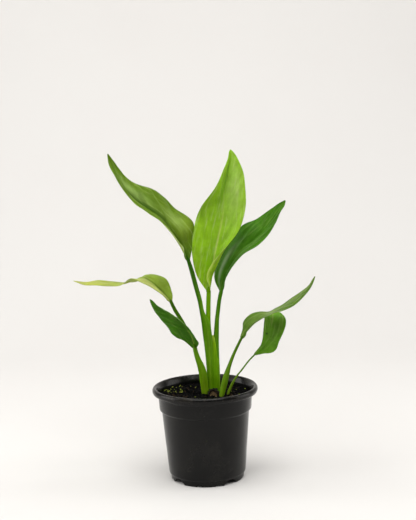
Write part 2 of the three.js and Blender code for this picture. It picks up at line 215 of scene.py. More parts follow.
# %% Mesh helpers
def smooth_rows(rows, count):
    """Smooth curve through the rows of a table; every column is interpolated alike."""
    rows = np.array(rows, float)
    last = len(rows) - 1
    place = np.linspace(0, last, count)
    index = np.minimum(place.astype(int), last - 1)
    u = (place - index)[:, None]
    before, here, after, beyond = (rows[np.clip(index + k, 0, last)] for k in (-1, 0, 1, 2))
    return 0.5 * (2 * here + (after - before) * u + (2 * before - 5 * here + 4 * after - beyond) * u ** 2
                  + (3 * here - before - 3 * after + beyond) * u ** 3)


def unit(vectors):
    """Vectors along the last axis made one long."""
    return vectors / np.maximum(np.linalg.norm(vectors, axis=-1, keepdims=True), 1e-9)


def unspun_frames(points):
    """Directions ahead, to the front and to the right at each point of a centre line."""
    order = np.arange(len(points))
    ahead = unit(points[np.minimum(order + 1, order[-1])] - points[np.maximum(order - 1, 0)])
    front = np.zeros_like(points)
    facing = np.array([0.0, -1.0, 0.0])
    for i, way in enumerate(ahead):
        facing = unit(facing - way * facing.dot(way))
        front[i] = facing
    return ahead, front, np.cross(ahead, front)


def tube_faces(rings, around):
    """Faces of a closed tube: the sides, and a fan to a centre point at each end."""
    faces = []
    for i in range(rings - 1):
        for j in range(around):
            a, b = i * around + j, i * around + (j + 1) % around
            faces.append((a, b, b + around, a + around))
    first, last, base = rings * around, rings * around + 1, (rings - 1) * around
    for j in range(around):
        k = (j + 1) % around
        faces.append((first, k, j))
        faces.append((last, base + j, base + k))
    return faces


def build_piece(name, points, faces, materials, smooth_angle=None):
    """A mesh object from points in mm; its sharp edges are those that turn more than smooth_angle."""
    mesh = bpy.data.meshes.new(name)
    mesh.from_pydata((np.asarray(points) * MM).tolist(), [], faces)
    for material in materials:
        mesh.materials.append(material)
    mesh.shade_smooth()
    if smooth_angle is not None:
        mesh.set_sharp_from_angle(angle=math.radians(smooth_angle))
    piece = bpy.data.objects.new(name, mesh)
    bpy.context.scene.collection.objects.link(piece)
    return piece


def add_map(piece, name, values):
    """A UV map with one pair of values for each point of the mesh."""
    corners = np.empty(len(piece.data.loops), int)
    piece.data.loops.foreach_get("vertex_index", corners)
    layer = piece.data.uv_layers.new(name=name)
    layer.data.foreach_set("uv", np.asarray(values, float)[corners].ravel())


def add_colours(piece, name, colours):
    """A colour for each point of the mesh, in linear red, green, blue."""
    layer = piece.data.color_attributes.new(name=name, type="FLOAT_COLOR", domain="POINT")
    whole = np.concatenate([colours, np.ones((len(colours), 1))], axis=1)
    layer.data.foreach_set("color", whole.ravel())


def finish_piece(piece, slot, *nodes):
    """Rides on the plant's one body and hides the CAD nodes it stands for; the slot is not used."""
    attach(piece, "root")
    if nodes:
        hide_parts(*nodes)
    triangles = sum(len(face.vertices) - 2 for face in piece.data.polygons)
    print(f"{piece.name}: {triangles} triangles")


print("mesh helpers ready")

# %% [markdown]
# ## Leaf finish
# The blades are leathery and waxy. Fine veins run side by side from the midrib out to the margin and
# bend towards the tip. The wax's greyish sheen is painted into the colour: painted sheen on the
# ribbing and in lengthwise streaks, with darker bands between the streaks. The veins have to follow
# each blade, so they are drawn in the blade's own map, which holds real distances: how far along the
# leaf, and how far out from the midrib. The broad colours, which differ from leaf to leaf, are painted
# on the mesh, with painted sheen and painted shade among them, and the node tree only adds the fine
# detail.

# %% Shared group: side veins
def make_vein_group():
    """Side veins from a blade's own map: thin lines, the ribbing between them, and lengthwise streaks that
    place the painted sheen.
    """
    tree, given, gives = new_group(
        "side veins",
        {"Map": ("vector", (0, 0, 0)), "Spacing": ("float", 2.4), "Lean": ("float", 2.4)},
        {"Line": "float", "Ribbing": "float", "Streaks": "float"})
    parts = add_node(tree, "ShaderNodeSeparateXYZ", {0: given["Map"]}).outputs
    along = times(tree, parts[0], 100.0)
    out = maths(tree, "ABSOLUTE", times(tree, parts[1], 100.0))
    swept = times(tree, given["Lean"], out)
    bent = times(tree, maths(tree, "POWER", out, 2.0), 0.012)
    course = maths(tree, "SUBTRACT", along, plus(tree, swept, bent))
    drift = vector(tree, course, times(tree, out, 0.06))
    wander = add_node(tree, "ShaderNodeTexNoise",
                      {"Vector": drift, "Scale": 0.35, "Detail": 2.0}).outputs["Fac"]
    phase = maths(tree, "DIVIDE", course, given["Spacing"])
    wave = maths(tree, "SINE", times(tree, plus(tree, phase, wander), math.tau))
    line = span(tree, wave, 0.45, 1.0)
    fine = add_node(tree, "ShaderNodeTexNoise",
                    {"Vector": drift, "Scale": 1.6, "Detail": 3.0}).outputs["Fac"]
    ribbing = plus(tree, times(tree, wave, 0.2), fine)
    long_way = vector(tree, times(tree, parts[0], 3.2), times(tree, parts[1], 34.0))
    streaks = add_node(tree, "ShaderNodeTexNoise", {"Vector": long_way, "Scale": 1.0, "Detail": 3.0,
                                                    "Roughness": 0.6}).outputs["Fac"]
    for name, value in {"Line": line, "Ribbing": ribbing, "Streaks": streaks}.items():
        tree.links.new(value, gives[name])
    return tree


SIDE_VEINS = make_vein_group()
print("group:", SIDE_VEINS.name)

# %% Leaf material
def make_leaf_material(name, painted_sheen_colour, vein_spacing, roughness, vein_strength, sheen_strength):
    """Waxy blade: painted colour, side veins, painted sheen on the ribbing and in lengthwise streaks, darker
    bands between the streaks, blotches, a pale wax bloom and small scars.
    """
    material, tree, shader = new_material(name, gloss=0.09)
    place = add_node(tree, "ShaderNodeUVMap", uv_map="lengths").outputs[0]
    paint = add_node(tree, "ShaderNodeAttribute", attribute_name="leaf paint").outputs["Color"]
    body = body_place(tree)
    veins = use_group(tree, SIDE_VEINS, Map=place, Spacing=vein_spacing)
    blotch = speckle(tree, body, 9.0)
    tone = span(tree, blotch, 0.3, 0.7, 0.86, 1.12)
    colour = shade(tree, paint, tone)
    lighter = blend(tree, 0.35, paint, painted_sheen_colour)
    colour = blend(tree, times(tree, veins["Line"], vein_strength), colour, lighter)
    # painted sheen: the ridges of the ribbing are lightened towards the sheen colour
    ridges = span(tree, veins["Ribbing"], 0.3, 0.75)
    colour = blend(tree, times(tree, ridges, 0.22), colour, lighter)
    # painted sheen in lengthwise streaks; where the streak noise is low the colour turns darker and more
    # saturated
    streaks = span(tree, veins["Streaks"], 0.5, 0.72, 0.0, sheen_strength)
    colour = blend(tree, streaks, colour, painted_sheen_colour)
    deep = span(tree, veins["Streaks"], 0.44, 0.3, 0.0, 0.35)
    colour = blend(tree, deep, colour, blend(tree, 1.0, paint, (0.55, 0.66, 0.3, 1.0), "MULTIPLY"))
    bloom = span(tree, speckle(tree, body, 3.2, 4.0), 0.52, 0.78, 0.0, 0.1)
    colour = blend(tree, bloom, colour, painted_sheen_colour)
    scars = span(tree, speckle(tree, body, 1.1, 1.0), 0.74, 0.8, 0.0, 0.55)
    colour = blend(tree, scars, colour, srgb(118, 112, 52))
    worn = span(tree, blotch, 0.3, 0.7, roughness - 0.05, roughness + 0.09)
    dress(tree, shader, colour, worn, veins["Ribbing"], 0.13)
    return material


# the second value of each is the colour of the painted sheen
LEAF_FINISH = {
    "dark_leaf": make_leaf_material("dark leaf", srgb(112, 146, 62), 2.2, 0.38, 0.16, 0.45),
    "mature_leaf": make_leaf_material("mature leaf", srgb(158, 180, 98), 2.4, 0.40, 0.16, 0.5),
    "young_leaf": make_leaf_material("young leaf", srgb(176, 198, 118), 3.1, 0.36, 0.12, 0.55),
    "pale_leaf": make_leaf_material("pale leaf", srgb(190, 196, 122), 2.6, 0.46, 0.12, 0.3),
}
print("leaf finishes:", ", ".join(LEAF_FINISH))

# %% [markdown]
# ## Blades
# A blade is two halves joined at the midrib. Each row of a blade's table gives the midrib's place,
# and for each half its width, how far it swings towards the viewer and how much it curls on. The
# surface between is then given what a living blade has: long pleats between midrib and margin, a
# groove along the upper side of the midrib, a keel under it, and a margin thinner than the middle.

# %% Blade tables
# x, y, z of the midrib, then width, swing and curl of the left half, then of the right
BLADE_ROWS = {
    "short_left": [
        [-9.4, -4.1, 136.2, 2.6, 0, 0, 2.4, 20, 0],
        [-11.6, -7, 146.5, 9.6, -8, -20, 10.5, 62, 10],
        [-14.9, -9, 153.9, 15.5, -12, -25, 12, 68, 10],
        [-19.5, -11, 161.1, 17.5, -15, -25, 12.5, 70, 10],
        [-26.8, -13, 168.3, 15.5, -20, -25, 11.5, 70, 10],
        [-34.5, -15, 174.7, 13, -20, -20, 9.5, 68, 10],
        [-41.3, -17, 179.3, 9, -20, -15, 6, 68, 5],
        [-47.3, -19, 184.3, 4.6, -15, -10, 3, 62, 0],
        [-52.4, -20, 189.7, 0.5, 0, 0, 0.5, 0, 0],
    ],
    "long_right": [
        [38.1, -8, 145.4, 1.6, 0, 0, 1.6, 10, 0],
        [41.8, -9, 151.3, 4, -35, 0, 4.5, 70, 0],
        [45.2, -10, 155.5, 9.5, -42, -20, 8, 96, 0],
        [51, -11, 161.3, 12, -54, -20, 10, 102, 0],
        [58.1, -12, 165.9, 13, -74, -15, 11.5, 102, 0],
        [65.2, -13, 169.5, 13, -94, -10, 12, 100, 0],
        [72.2, -14, 173.2, 12.5, -94, 0, 12, 97, 0],
        [80.2, -15, 177, 12, -92, 0, 12, 90, 0],
        [90.3, -16, 182.9, 10.5, -84, 10, 10.5, 82, -10],
        [100.3, -17, 191.1, 7.5, -85, 10, 7.5, 80, -10],
        [107.3, -18, 198.6, 4, -84, 0, 4, 76, 0],
        [112.3, -19, 207.9, 0.5, -60, 0, 0.5, 60, 0],
    ],
    "cupped_right": [
        [51.6, 2, 125.7, 1.2, 0, 0, 1.2, 0, 0],
        [57.7, 2, 131.1, 3, 30, 10, 6, 10, 10],
        [63.3, 1, 136.6, 5.6, 26, 20, 11.5, 10, 20],
        [67.3, 0, 143.9, 8.4, 28, 20, 10.7, 12, 25],
        [69.7, 0, 152.1, 10, 28, 20, 12.5, 14, 30],
        [71.3, 1, 160.2, 10, 20, 20, 13.2, 10, 30],
        [71.7, 4.4, 166.2, 8.6, 5, 10, 10, -5, 15],
        [71.2, 9, 167.2, 5.5, 0, 0, 6, 0, 0],
        [70.2, 14, 163.5, 0.5, 0, 0, 0.5, 0, 0],
    ],
    "upper_left": [
        [-13.2, -6.1, 226.3, 1.9, 20, 0, 2, -10, 0],
        [-18.4, -11, 239.1, 7, 96, 0, 13.5, -30, -20],
        [-24.1, -15, 249.3, 15, 98, 10, 24.5, -27, -40],
        [-33.4, -20, 263.5, 18.5, 97, 15, 25.5, -55, -40],
        [-42.3, -24, 274, 19.5, 96, 15, 24, -53, -35],
        [-53.5, -28, 282.5, 18, 95, 15, 22, -44, -30],
        [-65.2, -31, 292.4, 14, 92, 10, 17.5, -46, -25],
        [-74.8, -33, 305.4, 9, 88, 0, 11, -53, -15],
        [-81.9, -34, 319.2, 5, 76, 0, 6, -42, -5],
        [-87.2, -35, 335.3, 0.5, 0, 0, 0.5, 0, 0],
    ],
    "right": [
        [19.2, 6, 191.8, 1.9, -10, 0, 1.6, 30, 0],
        [21.6, 6, 202, 10.2, -22, -30, 6.5, 78, 0],
        [25.4, 6, 211.7, 14.5, -35, -40, 14, 86, 10],
        [32.5, 5, 222.9, 17.5, -38, -40, 16, 87, 15],
        [41.8, 4, 234, 19.5, -40, -35, 17, 84, 20],
        [53.6, 3, 244, 20.5, -32, -30, 17, 74, 20],
        [64.4, 2, 253.9, 17, -44, -25, 15, 72, 15],
        [73, 0, 265, 12, -46, -15, 11, 71, 10],
        [80.6, -2, 276, 5.5, -40, -5, 5, 67, 0],
        [85.4, -3, 283, 0.5, 0, 0, 0.5, 0, 0],
    ],
    "centre": [
        [5.8, 1, 193.2, 2, 0, 0, 2, 40, 0],
        [8.3, 1.4, 205.1, 13.2, 8, -10, 10, 120, 150],
        [11.1, 2, 219.4, 20.6, 12, -20, 15.5, 102, 160],
        [14.2, 2, 232.5, 25, 12, -20, 16.5, 72, 115],
        [17.5, 3, 246.5, 26.5, 12, -15, 17.5, 40, 60],
        [21.6, 4, 262.5, 26.5, 11, 0, 21, 22, 20],
        [24.2, 6, 278.5, 24.5, 30, 10, 22.5, 18, 0],
        [25.8, 8, 294.5, 21.5, 60, 10, 21.5, 17, -10],
        [29.5, 10, 312.4, 14, 66, 5, 16.5, 18, -10],
        [32, 12, 327.3, 5, 64, 0, 7.2, 18, 0],
        [32.5, 13, 334.7, 0.5, 20, 0, 0.5, 20, 0],
    ],
    "long_left": [
        [-32.1, 9, 182, 1.3, 30, 0, 1.3, -20, 0],
        [-36.3, 10, 187.1, 6.5, 77, 0, 8, -40, -20],
        [-44.8, 12, 195.9, 13, 80, 0, 14.5, -39, -35],
        [-54, 14, 203.8, 16, 75, 0, 16, -65, -30],
        [-61.4, 15, 206.7, 17, 78, 0, 17, -86, -20],
        [-69.7, 16, 204.5, 17, 96, 0, 17, -97, 0],
        [-81.2, 17, 201, 16.5, 84, -10, 16.5, -88, 10],
        [-94.7, 18, 201.4, 15.5, 80, -10, 15, -84, 10],
        [-107.9, 18, 202.9, 14, 78, -10, 12, -82, 10],
        [-120.3, 18, 202.5, 9, 78, 0, 7, -84, 0],
        [-132.3, 18, 205, 0.5, 80, 0, 0.5, -80, 0],
    ],
}
print(len(BLADE_ROWS), "blades")

# %% Stalk tables
# x, y, z of the centre line, then the width across and the depth front to back
STALK_ROWS = {
    "short_left": [
        [0.2, -0.5, 80, 7, 4.6], [-0.2, -0.4, 88, 7.2, 4.6], [-1.1, -1, 100, 8.2, 4.6],
        [-2.2, -1.8, 110, 8.2, 4.4], [-4, -2.4, 117, 7.2, 4.2], [-6.1, -3, 123, 5.9, 4],
        [-8, -3.5, 129.5, 5.1, 3.8], [-9.2, -4, 135.4, 4.6, 3.6],
    ],
    "long_right": [
        [15.2, -11.8, 80, 4.6, 4.2], [16.2, -12, 86, 5, 4.4], [17.6, -11.2, 92, 5.8, 4.6],
        [20.4, -10.2, 103, 6.5, 4.6], [22.2, -9.6, 109, 5.8, 4.4], [25.1, -9, 117.5, 4.1, 3.8],
        [29.2, -8.5, 127.6, 3.3, 3.3], [33.4, -8, 136.3, 3, 3], [37.7, -8, 144.6, 2.8, 2.8],
    ],
    "cupped_right": [
        [21.6, -5.8, 80, 3, 3], [22.8, -5.3, 86, 3, 3], [24.6, -4, 91, 2.9, 2.9],
        [28.8, -3, 99, 2.5, 2.5], [33.4, -1, 105.5, 1.9, 2], [37.7, 0, 110.4, 1.8, 1.9],
        [45.3, 1.6, 119.5, 1.7, 1.8], [50.9, 2, 125, 1.8, 1.8],
    ],
    "upper_left": [
        [5.3, 3, 80, 6.4, 7], [5.3, 3, 95, 6.4, 7], [5.2, 2.6, 110, 6.5, 6.8],
        [4.9, 1.8, 128, 7.7, 6.6], [4, 0.6, 147.5, 9.4, 5.6], [2.2, -0.4, 161.5, 8.4, 4.6],
        [-0.9, -1, 172, 4.9, 4.4], [-2.9, -2, 184.5, 4.8, 4.3], [-6.6, -3, 200, 4.8, 4.2],
        [-10, -4.3, 214.7, 4.6, 4], [-12.9, -5.9, 225.5, 3.9, 3.6],
    ],
    "right": [
        [12.1, 4, 80, 6.9, 7.2], [12.1, 4, 95, 6.9, 7], [12.2, 4, 110, 6.9, 6.6],
        [12.1, 4, 125, 6.6, 6.2], [12.4, 4.6, 138, 6, 5.6], [13.1, 5.2, 150, 5.3, 5],
        [14.1, 6, 163, 4.6, 4.4], [15.2, 6, 171, 4.4, 4.2], [16.9, 6, 182.6, 4.3, 4.1],
        [18.9, 6, 190.9, 4.2, 4],
    ],
    "centre": [
        [8.3, 8, 80, 6.8, 5.4], [8.2, 8, 100, 6.6, 5.2], [7.2, 7, 125, 6, 5],
        [5.8, 5, 145, 5.2, 4.6], [5.2, 3.8, 160.5, 4.8, 4.4], [5.5, 2.9, 174, 4.7, 4.3],
        [5.9, 2.2, 183, 4.6, 4.2], [6.4, 2, 192.3, 4.4, 4],
    ],
    "long_left": [
        [0.4, 8.6, 80, 5.2, 4.6], [-0.2, 8.4, 90, 5, 4.4], [-2.4, 8, 104.5, 4.6, 4.2],
        [-6, 8, 120.5, 4.1, 3.8], [-10.6, 8, 136, 4.2, 3.6], [-15.9, 8, 149, 4.2, 3.6],
        [-20.8, 8, 159.8, 4.3, 3.6], [-24.2, 8, 166, 4.3, 3.6], [-28.6, 8.4, 173.8, 4.1, 3.4],
        [-31.9, 9, 181.2, 3.8, 3.2],
    ],
    # the lower part of the upper leaf's stalk widens round the right leaf's stalk and clasps it
    "clasping_sheath": [
        [8.8, 3.5, 80, 13.6, 7.6], [8.8, 3.5, 106, 13.6, 7.4], [8.8, 3.3, 122, 12.6, 6.8],
        [9, 3.1, 133, 9, 5.6], [9.3, 2.9, 141, 5, 4], [9.5, 2.8, 147, 1.6, 1.6],
    ],
}
print(len(STALK_ROWS), "stalks")

# %% Painting a swept form
# A patch is a soft oval of colour: place along (0 to 1) and across (-1 left margin, 1 right margin),
# its reach along and across, its colour, and how strongly it covers.
def paint_over(base, along, across, patches):
    """Colours for the points at (along, across), from a base colour and the patches over it."""
    colours = np.tile(np.array(srgb(*base)[:3]), (along.size, 1))
    for centre, middle, reach, breadth, colour, strength in patches:
        lengthwise = ((along.ravel() - centre) / reach) ** 2
        distance = lengthwise + ((across.ravel() - middle) / breadth) ** 2
        cover = (strength * np.exp(-distance))[:, None]
        colours = colours * (1 - cover) + np.array(srgb(*colour)[:3]) * cover
    return colours


print("patch painter ready")

# %% Leaf looks
# slot, base colours of the upper and the under side, patches for each, and the pleats:
# (height in mm, length of one pleat in mm, phase, lean towards the tip);
# some patches are painted sheen, a painted highlight and painted shade, each marked where it stands
LEAF_LOOKS = {
    "short_left": {
        "slot": "dark_leaf", "pleats": (0.45, 15, 0.4, 2.0),
        "upper": (56, 112, 4), "under": (78, 118, 34),
        "upper_paint": [
            (0.1, 0.0, 0.2, 0.06, (150, 176, 76), 0.9),
            (0.45, 0.5, 0.5, 0.3, (44, 92, 8), 0.6),
        ],
        "under_paint": [],
    },
    "long_right": {
        "slot": "mature_leaf", "pleats": (0.3, 18, 1.7, 1.3),
        "upper": (68, 102, 16), "under": (90, 118, 40),
        "upper_paint": [
            # painted sheen: a pale grey-green patch on the left half
            (0.55, -0.4, 0.4, 0.35, (124, 148, 76), 0.45),
            (0.03, 0.0, 0.12, 2.0, (62, 100, 14), 0.8),
        ],
        "under_paint": [
            # painted sheen: a pale grey-green patch on the right half
            (0.5, 0.45, 0.4, 0.35, (126, 150, 76), 0.45),
            (0.47, 0.9, 0.05, 0.3, (176, 168, 60), 0.9),
            (1.0, 0.0, 0.06, 2.0, (118, 96, 44), 0.9),
        ],
    },
    "cupped_right": {
        "slot": "mature_leaf", "pleats": (0.22, 34, 0.9, 6.0),
        "upper": (86, 144, 14), "under": (104, 144, 56),
        "upper_paint": [
            # painted sheen: a paler grey-green patch on the right half
            (0.55, 0.4, 0.3, 0.4, (104, 148, 54), 0.6),
            (0.46, -0.5, 0.018, 0.11, (14, 18, 4), 1.0),
        ],
        "under_paint": [],
    },
    "upper_left": {
        "slot": "mature_leaf", "pleats": (0.6, 21, 0.0, 2.0),
        "upper": (82, 114, 0), "under": (138, 160, 76),
        "upper_paint": [
            # painted shade: a dark band in the crease along the midrib
            (0.5, 0.06, 0.45, 0.1, (44, 80, 0), 0.9),
            (0.16, 0.5, 0.16, 0.6, (106, 130, 8), 0.85),
            # painted sheen: the next two pale patches on the right half
            (0.3, 0.45, 0.1, 0.22, (140, 168, 80), 0.7),
            (0.68, 0.3, 0.16, 0.22, (142, 170, 90), 0.75),
            (0.0, 0.0, 0.12, 2.0, (56, 104, 0), 0.8),
        ],
        # painted sheen: a pale patch on the edge-on left half
        "under_paint": [(0.4, -0.8, 0.4, 0.7, (176, 194, 116), 0.85)],
    },
    "right": {
        "slot": "dark_leaf", "pleats": (0.45, 30, 2.2, 4.0),
        "upper": (56, 108, 8), "under": (112, 142, 70),
        "upper_paint": [
            # painted sheen: a pale grey-green patch on the right half
            (0.4, 0.3, 0.35, 0.2, (94, 126, 70), 0.5),
            # painted highlight: a whitish band on the left half close to the fold
            (0.22, -0.45, 0.2, 0.12, (150, 166, 136), 0.6),
            (0.2, -0.9, 0.25, 0.2, (40, 84, 2), 0.7),
        ],
        "under_paint": [(0.6, 0.5, 0.4, 0.5, (120, 148, 92), 0.6)],
    },
    "centre": {
        "slot": "young_leaf", "pleats": (0.75, 24, 0.8, 2.6),
        "upper": (134, 182, 22), "under": (140, 184, 22),
        "upper_paint": [
            (0.04, 0.0, 0.2, 1.4, (136, 184, 0), 0.9),
            # painted shade: a darker band left of the midrib, high up
            (0.8, -0.22, 0.2, 0.14, (92, 142, 6), 0.8),
            # painted sheen: a pale grey-green patch right of the midrib, high up
            (0.74, 0.45, 0.25, 0.4, (160, 192, 92), 0.75),
            (0.3, 0.0, 0.26, 0.04, (196, 210, 110), 0.85),
        ],
        "under_paint": [(0.15, 1.0, 0.3, 0.14, (186, 206, 96), 0.8)],
    },
    "long_left": {
        "slot": "pale_leaf", "pleats": (0.4, 22, 1.2, 1.3),
        "upper": (118, 146, 36), "under": (142, 166, 62),
        "upper_paint": [
            (0.95, 0.0, 0.4, 2.0, (164, 168, 66), 0.9),
            # painted sheen: a pale patch on the left half
            (0.25, -0.62, 0.3, 0.42, (196, 202, 116), 0.9),
            # painted shade: a dark line in the groove along the midrib
            (0.12, -0.02, 0.3, 0.07, (66, 96, 10), 0.9),
        ],
        "under_paint": [(0.95, 0.0, 0.4, 2.0, (168, 172, 72), 0.9)],
    },
}
print(len(LEAF_LOOKS), "leaf looks")

# %% Blade surface
BLADE_STATIONS = 112
HALF_COLUMNS = 16
MIDDLE_THICKNESS = 0.42   # mm, beside the midrib
MARGIN_THICKNESS = 0.2
GROOVE_SHARE = 0.28       # depth of the groove on top, as a share of the keel
KEEL_SHARE = 0.42         # height of the keel at the base, as a share of the stalk's depth
RIB_SHARE = 0.30          # half width of the keel at the base, as a share of the stalk's width
FINE_PLEAT_SHARE = 0.61   # spacing of the finer pleats, as a share of the broad ones
PLEAT_GAIN = 3.2          # strength of the pleats, which are tallest a little over half way out


def half_surface(points, frames, side, width, swing, curl, fractions):
    """Points of one half blade, at fractions of its width from midrib to margin."""
    front, right = frames[1:]
    start = np.radians(swing - curl / 2)[:, None]
    turn = np.radians(curl)[:, None] * fractions
    turn = np.where(np.abs(turn) < 1e-6, 1e-6, turn)
    reach = width[:, None] * fractions / turn
    out = reach * (np.sin(start + turn) - np.sin(start))
    forward = reach * (np.cos(start) - np.cos(start + turn))
    return points[:, None] + side * out[..., None] * right[:, None] + forward[..., None] * front[:, None]


def blade_middle(rows):
    """Middle surface of a blade, with each point's distance along and out in mm and as fractions."""
    table = smooth_rows(rows, BLADE_STATIONS)
    points = table[:, :3]
    frames = unspun_frames(points)
    fractions = np.linspace(0, 1, HALF_COLUMNS + 1) ** 1.35
    left = half_surface(points, frames, -1, *table[:, 3:6].T, fractions[1:])[:, ::-1]
    right = half_surface(points, frames, 1, *table[:, 6:9].T, fractions)
    surface = np.concatenate([left, right], axis=1)
    across = np.tile(np.concatenate([-fractions[:0:-1], fractions]), (BLADE_STATIONS, 1))
    widths = np.where(across < 0, table[:, 3:4], table[:, 6:7])
    steps = np.linalg.norm(np.diff(points, axis=0), axis=1)
    length = np.concatenate([[0], np.cumsum(steps)])
    along = np.tile(length[:, None], (1, surface.shape[1]))
    return surface, along, across, across * widths


def surface_normals(surface):
    """Normals of a grid of points, on the side that faces the viewer when the leaf stands upright."""
    lengthwise = np.gradient(surface, axis=0)
    crosswise = np.gradient(surface, axis=1)
    return unit(np.cross(crosswise, lengthwise))


print("blade surface ready")

# %% Build a blade
def build_blade(name):
    """One closed blade with its pleats, midrib, maps and paint."""
    look = LEAF_LOOKS[name]
    surface, along, across, out = blade_middle(BLADE_ROWS[name])
    share = along / along.max()
    height, pleat_length, phase, lean = look["pleats"]
    course = along - lean * np.abs(out)
    pleats = np.sin(math.tau * course / pleat_length + phase + np.sign(across) * 0.9)
    pleats += 0.5 * np.sin(math.tau * course / (FINE_PLEAT_SHARE * pleat_length) + 2 * phase)
    inner = np.abs(across)
    swell = PLEAT_GAIN * height * inner * (1 - inner ** 2) * np.sin(math.pi * np.clip(share, 0, 1)) ** 0.7
    surface = surface + surface_normals(surface) * (pleats * swell)[..., None]
    normals = surface_normals(surface)

    stalk_end = STALK_ROWS[name][-1]
    keel = (KEEL_SHARE * stalk_end[4] * (1 - share) ** 0.9 + 0.12) * np.minimum(1, (1.02 - share) * 12)
    rib = np.exp(-(out / (RIB_SHARE * stalk_end[3] * (1 - share) ** 0.7 + 0.35)) ** 2)
    body = 0.5 * (MIDDLE_THICKNESS + (MARGIN_THICKNESS - MIDDLE_THICKNESS) * np.abs(across))
    upper = surface + normals * (body - GROOVE_SHARE * keel * rib)[..., None]
    lower = surface - normals * (body + keel * rib)[..., None]

    rings = np.concatenate([lower[:, ::-1], upper], axis=1)
    points = rings.reshape(-1, 3)
    points = np.concatenate([points, [rings[0].mean(axis=0)], [rings[-1].mean(axis=0)]])
    faces = tube_faces(BLADE_STATIONS, rings.shape[1])

    def ring_values(values):
        """A grid of values laid out like the points of the rings, with a mean at each end."""
        whole = np.concatenate([values[:, ::-1], values], axis=1).ravel()
        return np.concatenate([whole, [values[0].mean()], [values[-1].mean()]])

    under = paint_over(look["under"], share[:, ::-1], across[:, ::-1], look["under_paint"])
    upper_colours = paint_over(look["upper"], share, across, look["upper_paint"])
    columns = across.shape[1]
    both = np.concatenate([under.reshape(-1, columns, 3), upper_colours.reshape(-1, columns, 3)], axis=1)
    colours = np.concatenate([both.reshape(-1, 3), [both[0].mean(axis=0)], [both[-1].mean(axis=0)]])

    piece = build_piece(f"{name}_leaf", points, faces, [LEAF_FINISH[look["slot"]]])
    add_map(piece, "lengths", np.stack([ring_values(along), ring_values(out)], axis=1) / 100)
    add_colours(piece, "leaf paint", colours)
    finish_piece(piece, look["slot"], f"{name}_blade")
    return piece


for leaf in BLADE_ROWS:
    build_blade(leaf)

# %% [markdown]
# ## Stalks
# Each leaf stalk is a firm rod with a shallow channel on its inner side. Low down it widens into a
# sheath that clasps the next stalk, with a thin pale edge. A stalk could be a curve with a bevel, but
# its section changes along the way, so it is swept from a table like the blades. Its end runs on into
# the blade as the start of the midrib, which hides the joint.

# %% Stalk material
def make_stalk_material():
    """Fresh green skin: painted colour, lengthwise fibres, pale pores and brown scuffs near the soil."""
    material, tree, shader = new_material("leaf stalk", gloss=0.08)
    paint = add_node(tree, "ShaderNodeAttribute", attribute_name="leaf paint").outputs["Color"]
    place = add_node(tree, "ShaderNodeUVMap", uv_map="lengths").outputs[0]
    body = body_place(tree)
    stretched = scaled(tree, place, 4.0, 180.0, 1.0)
    noisy = add_node(tree, "ShaderNodeTexNoise", {"Vector": stretched, "Scale": 1.0, "Detail": 4.0})
    fibres = noisy.outputs["Fac"]
    tone = span(tree, fibres, 0.3, 0.7, 0.82, 1.14)
    colour = shade(tree, paint, tone)
    bloom = span(tree, speckle(tree, body, 2.6), 0.5, 0.75, 0.0, 0.1)
    colour = blend(tree, bloom, colour, srgb(150, 180, 60))
    height = add_node(tree, "ShaderNodeSeparateXYZ", {0: body}).outputs[2]
    low = span(tree, height, 84 * MM, 112 * MM, 0.9, 0.05)
    spots = span(tree, speckle(tree, body, 1.5, 2.0), 0.68, 0.76)
    colour = blend(tree, times(tree, spots, low), colour, srgb(104, 78, 34))
    near_soil = span(tree, height, 85 * MM, 91 * MM, 0.8, 0.0)
    soiled = times(tree, near_soil, span(tree, fibres, 0.35, 0.6))
    colour = blend(tree, soiled, colour, srgb(58, 44, 26))
    dullness = span(tree, fibres, 0.3, 0.7, 0.34, 0.5)
    dress(tree, shader, colour, dullness, fibres, 0.12)
    return material


STALK_FINISH = make_stalk_material()
print("material:", STALK_FINISH.name)

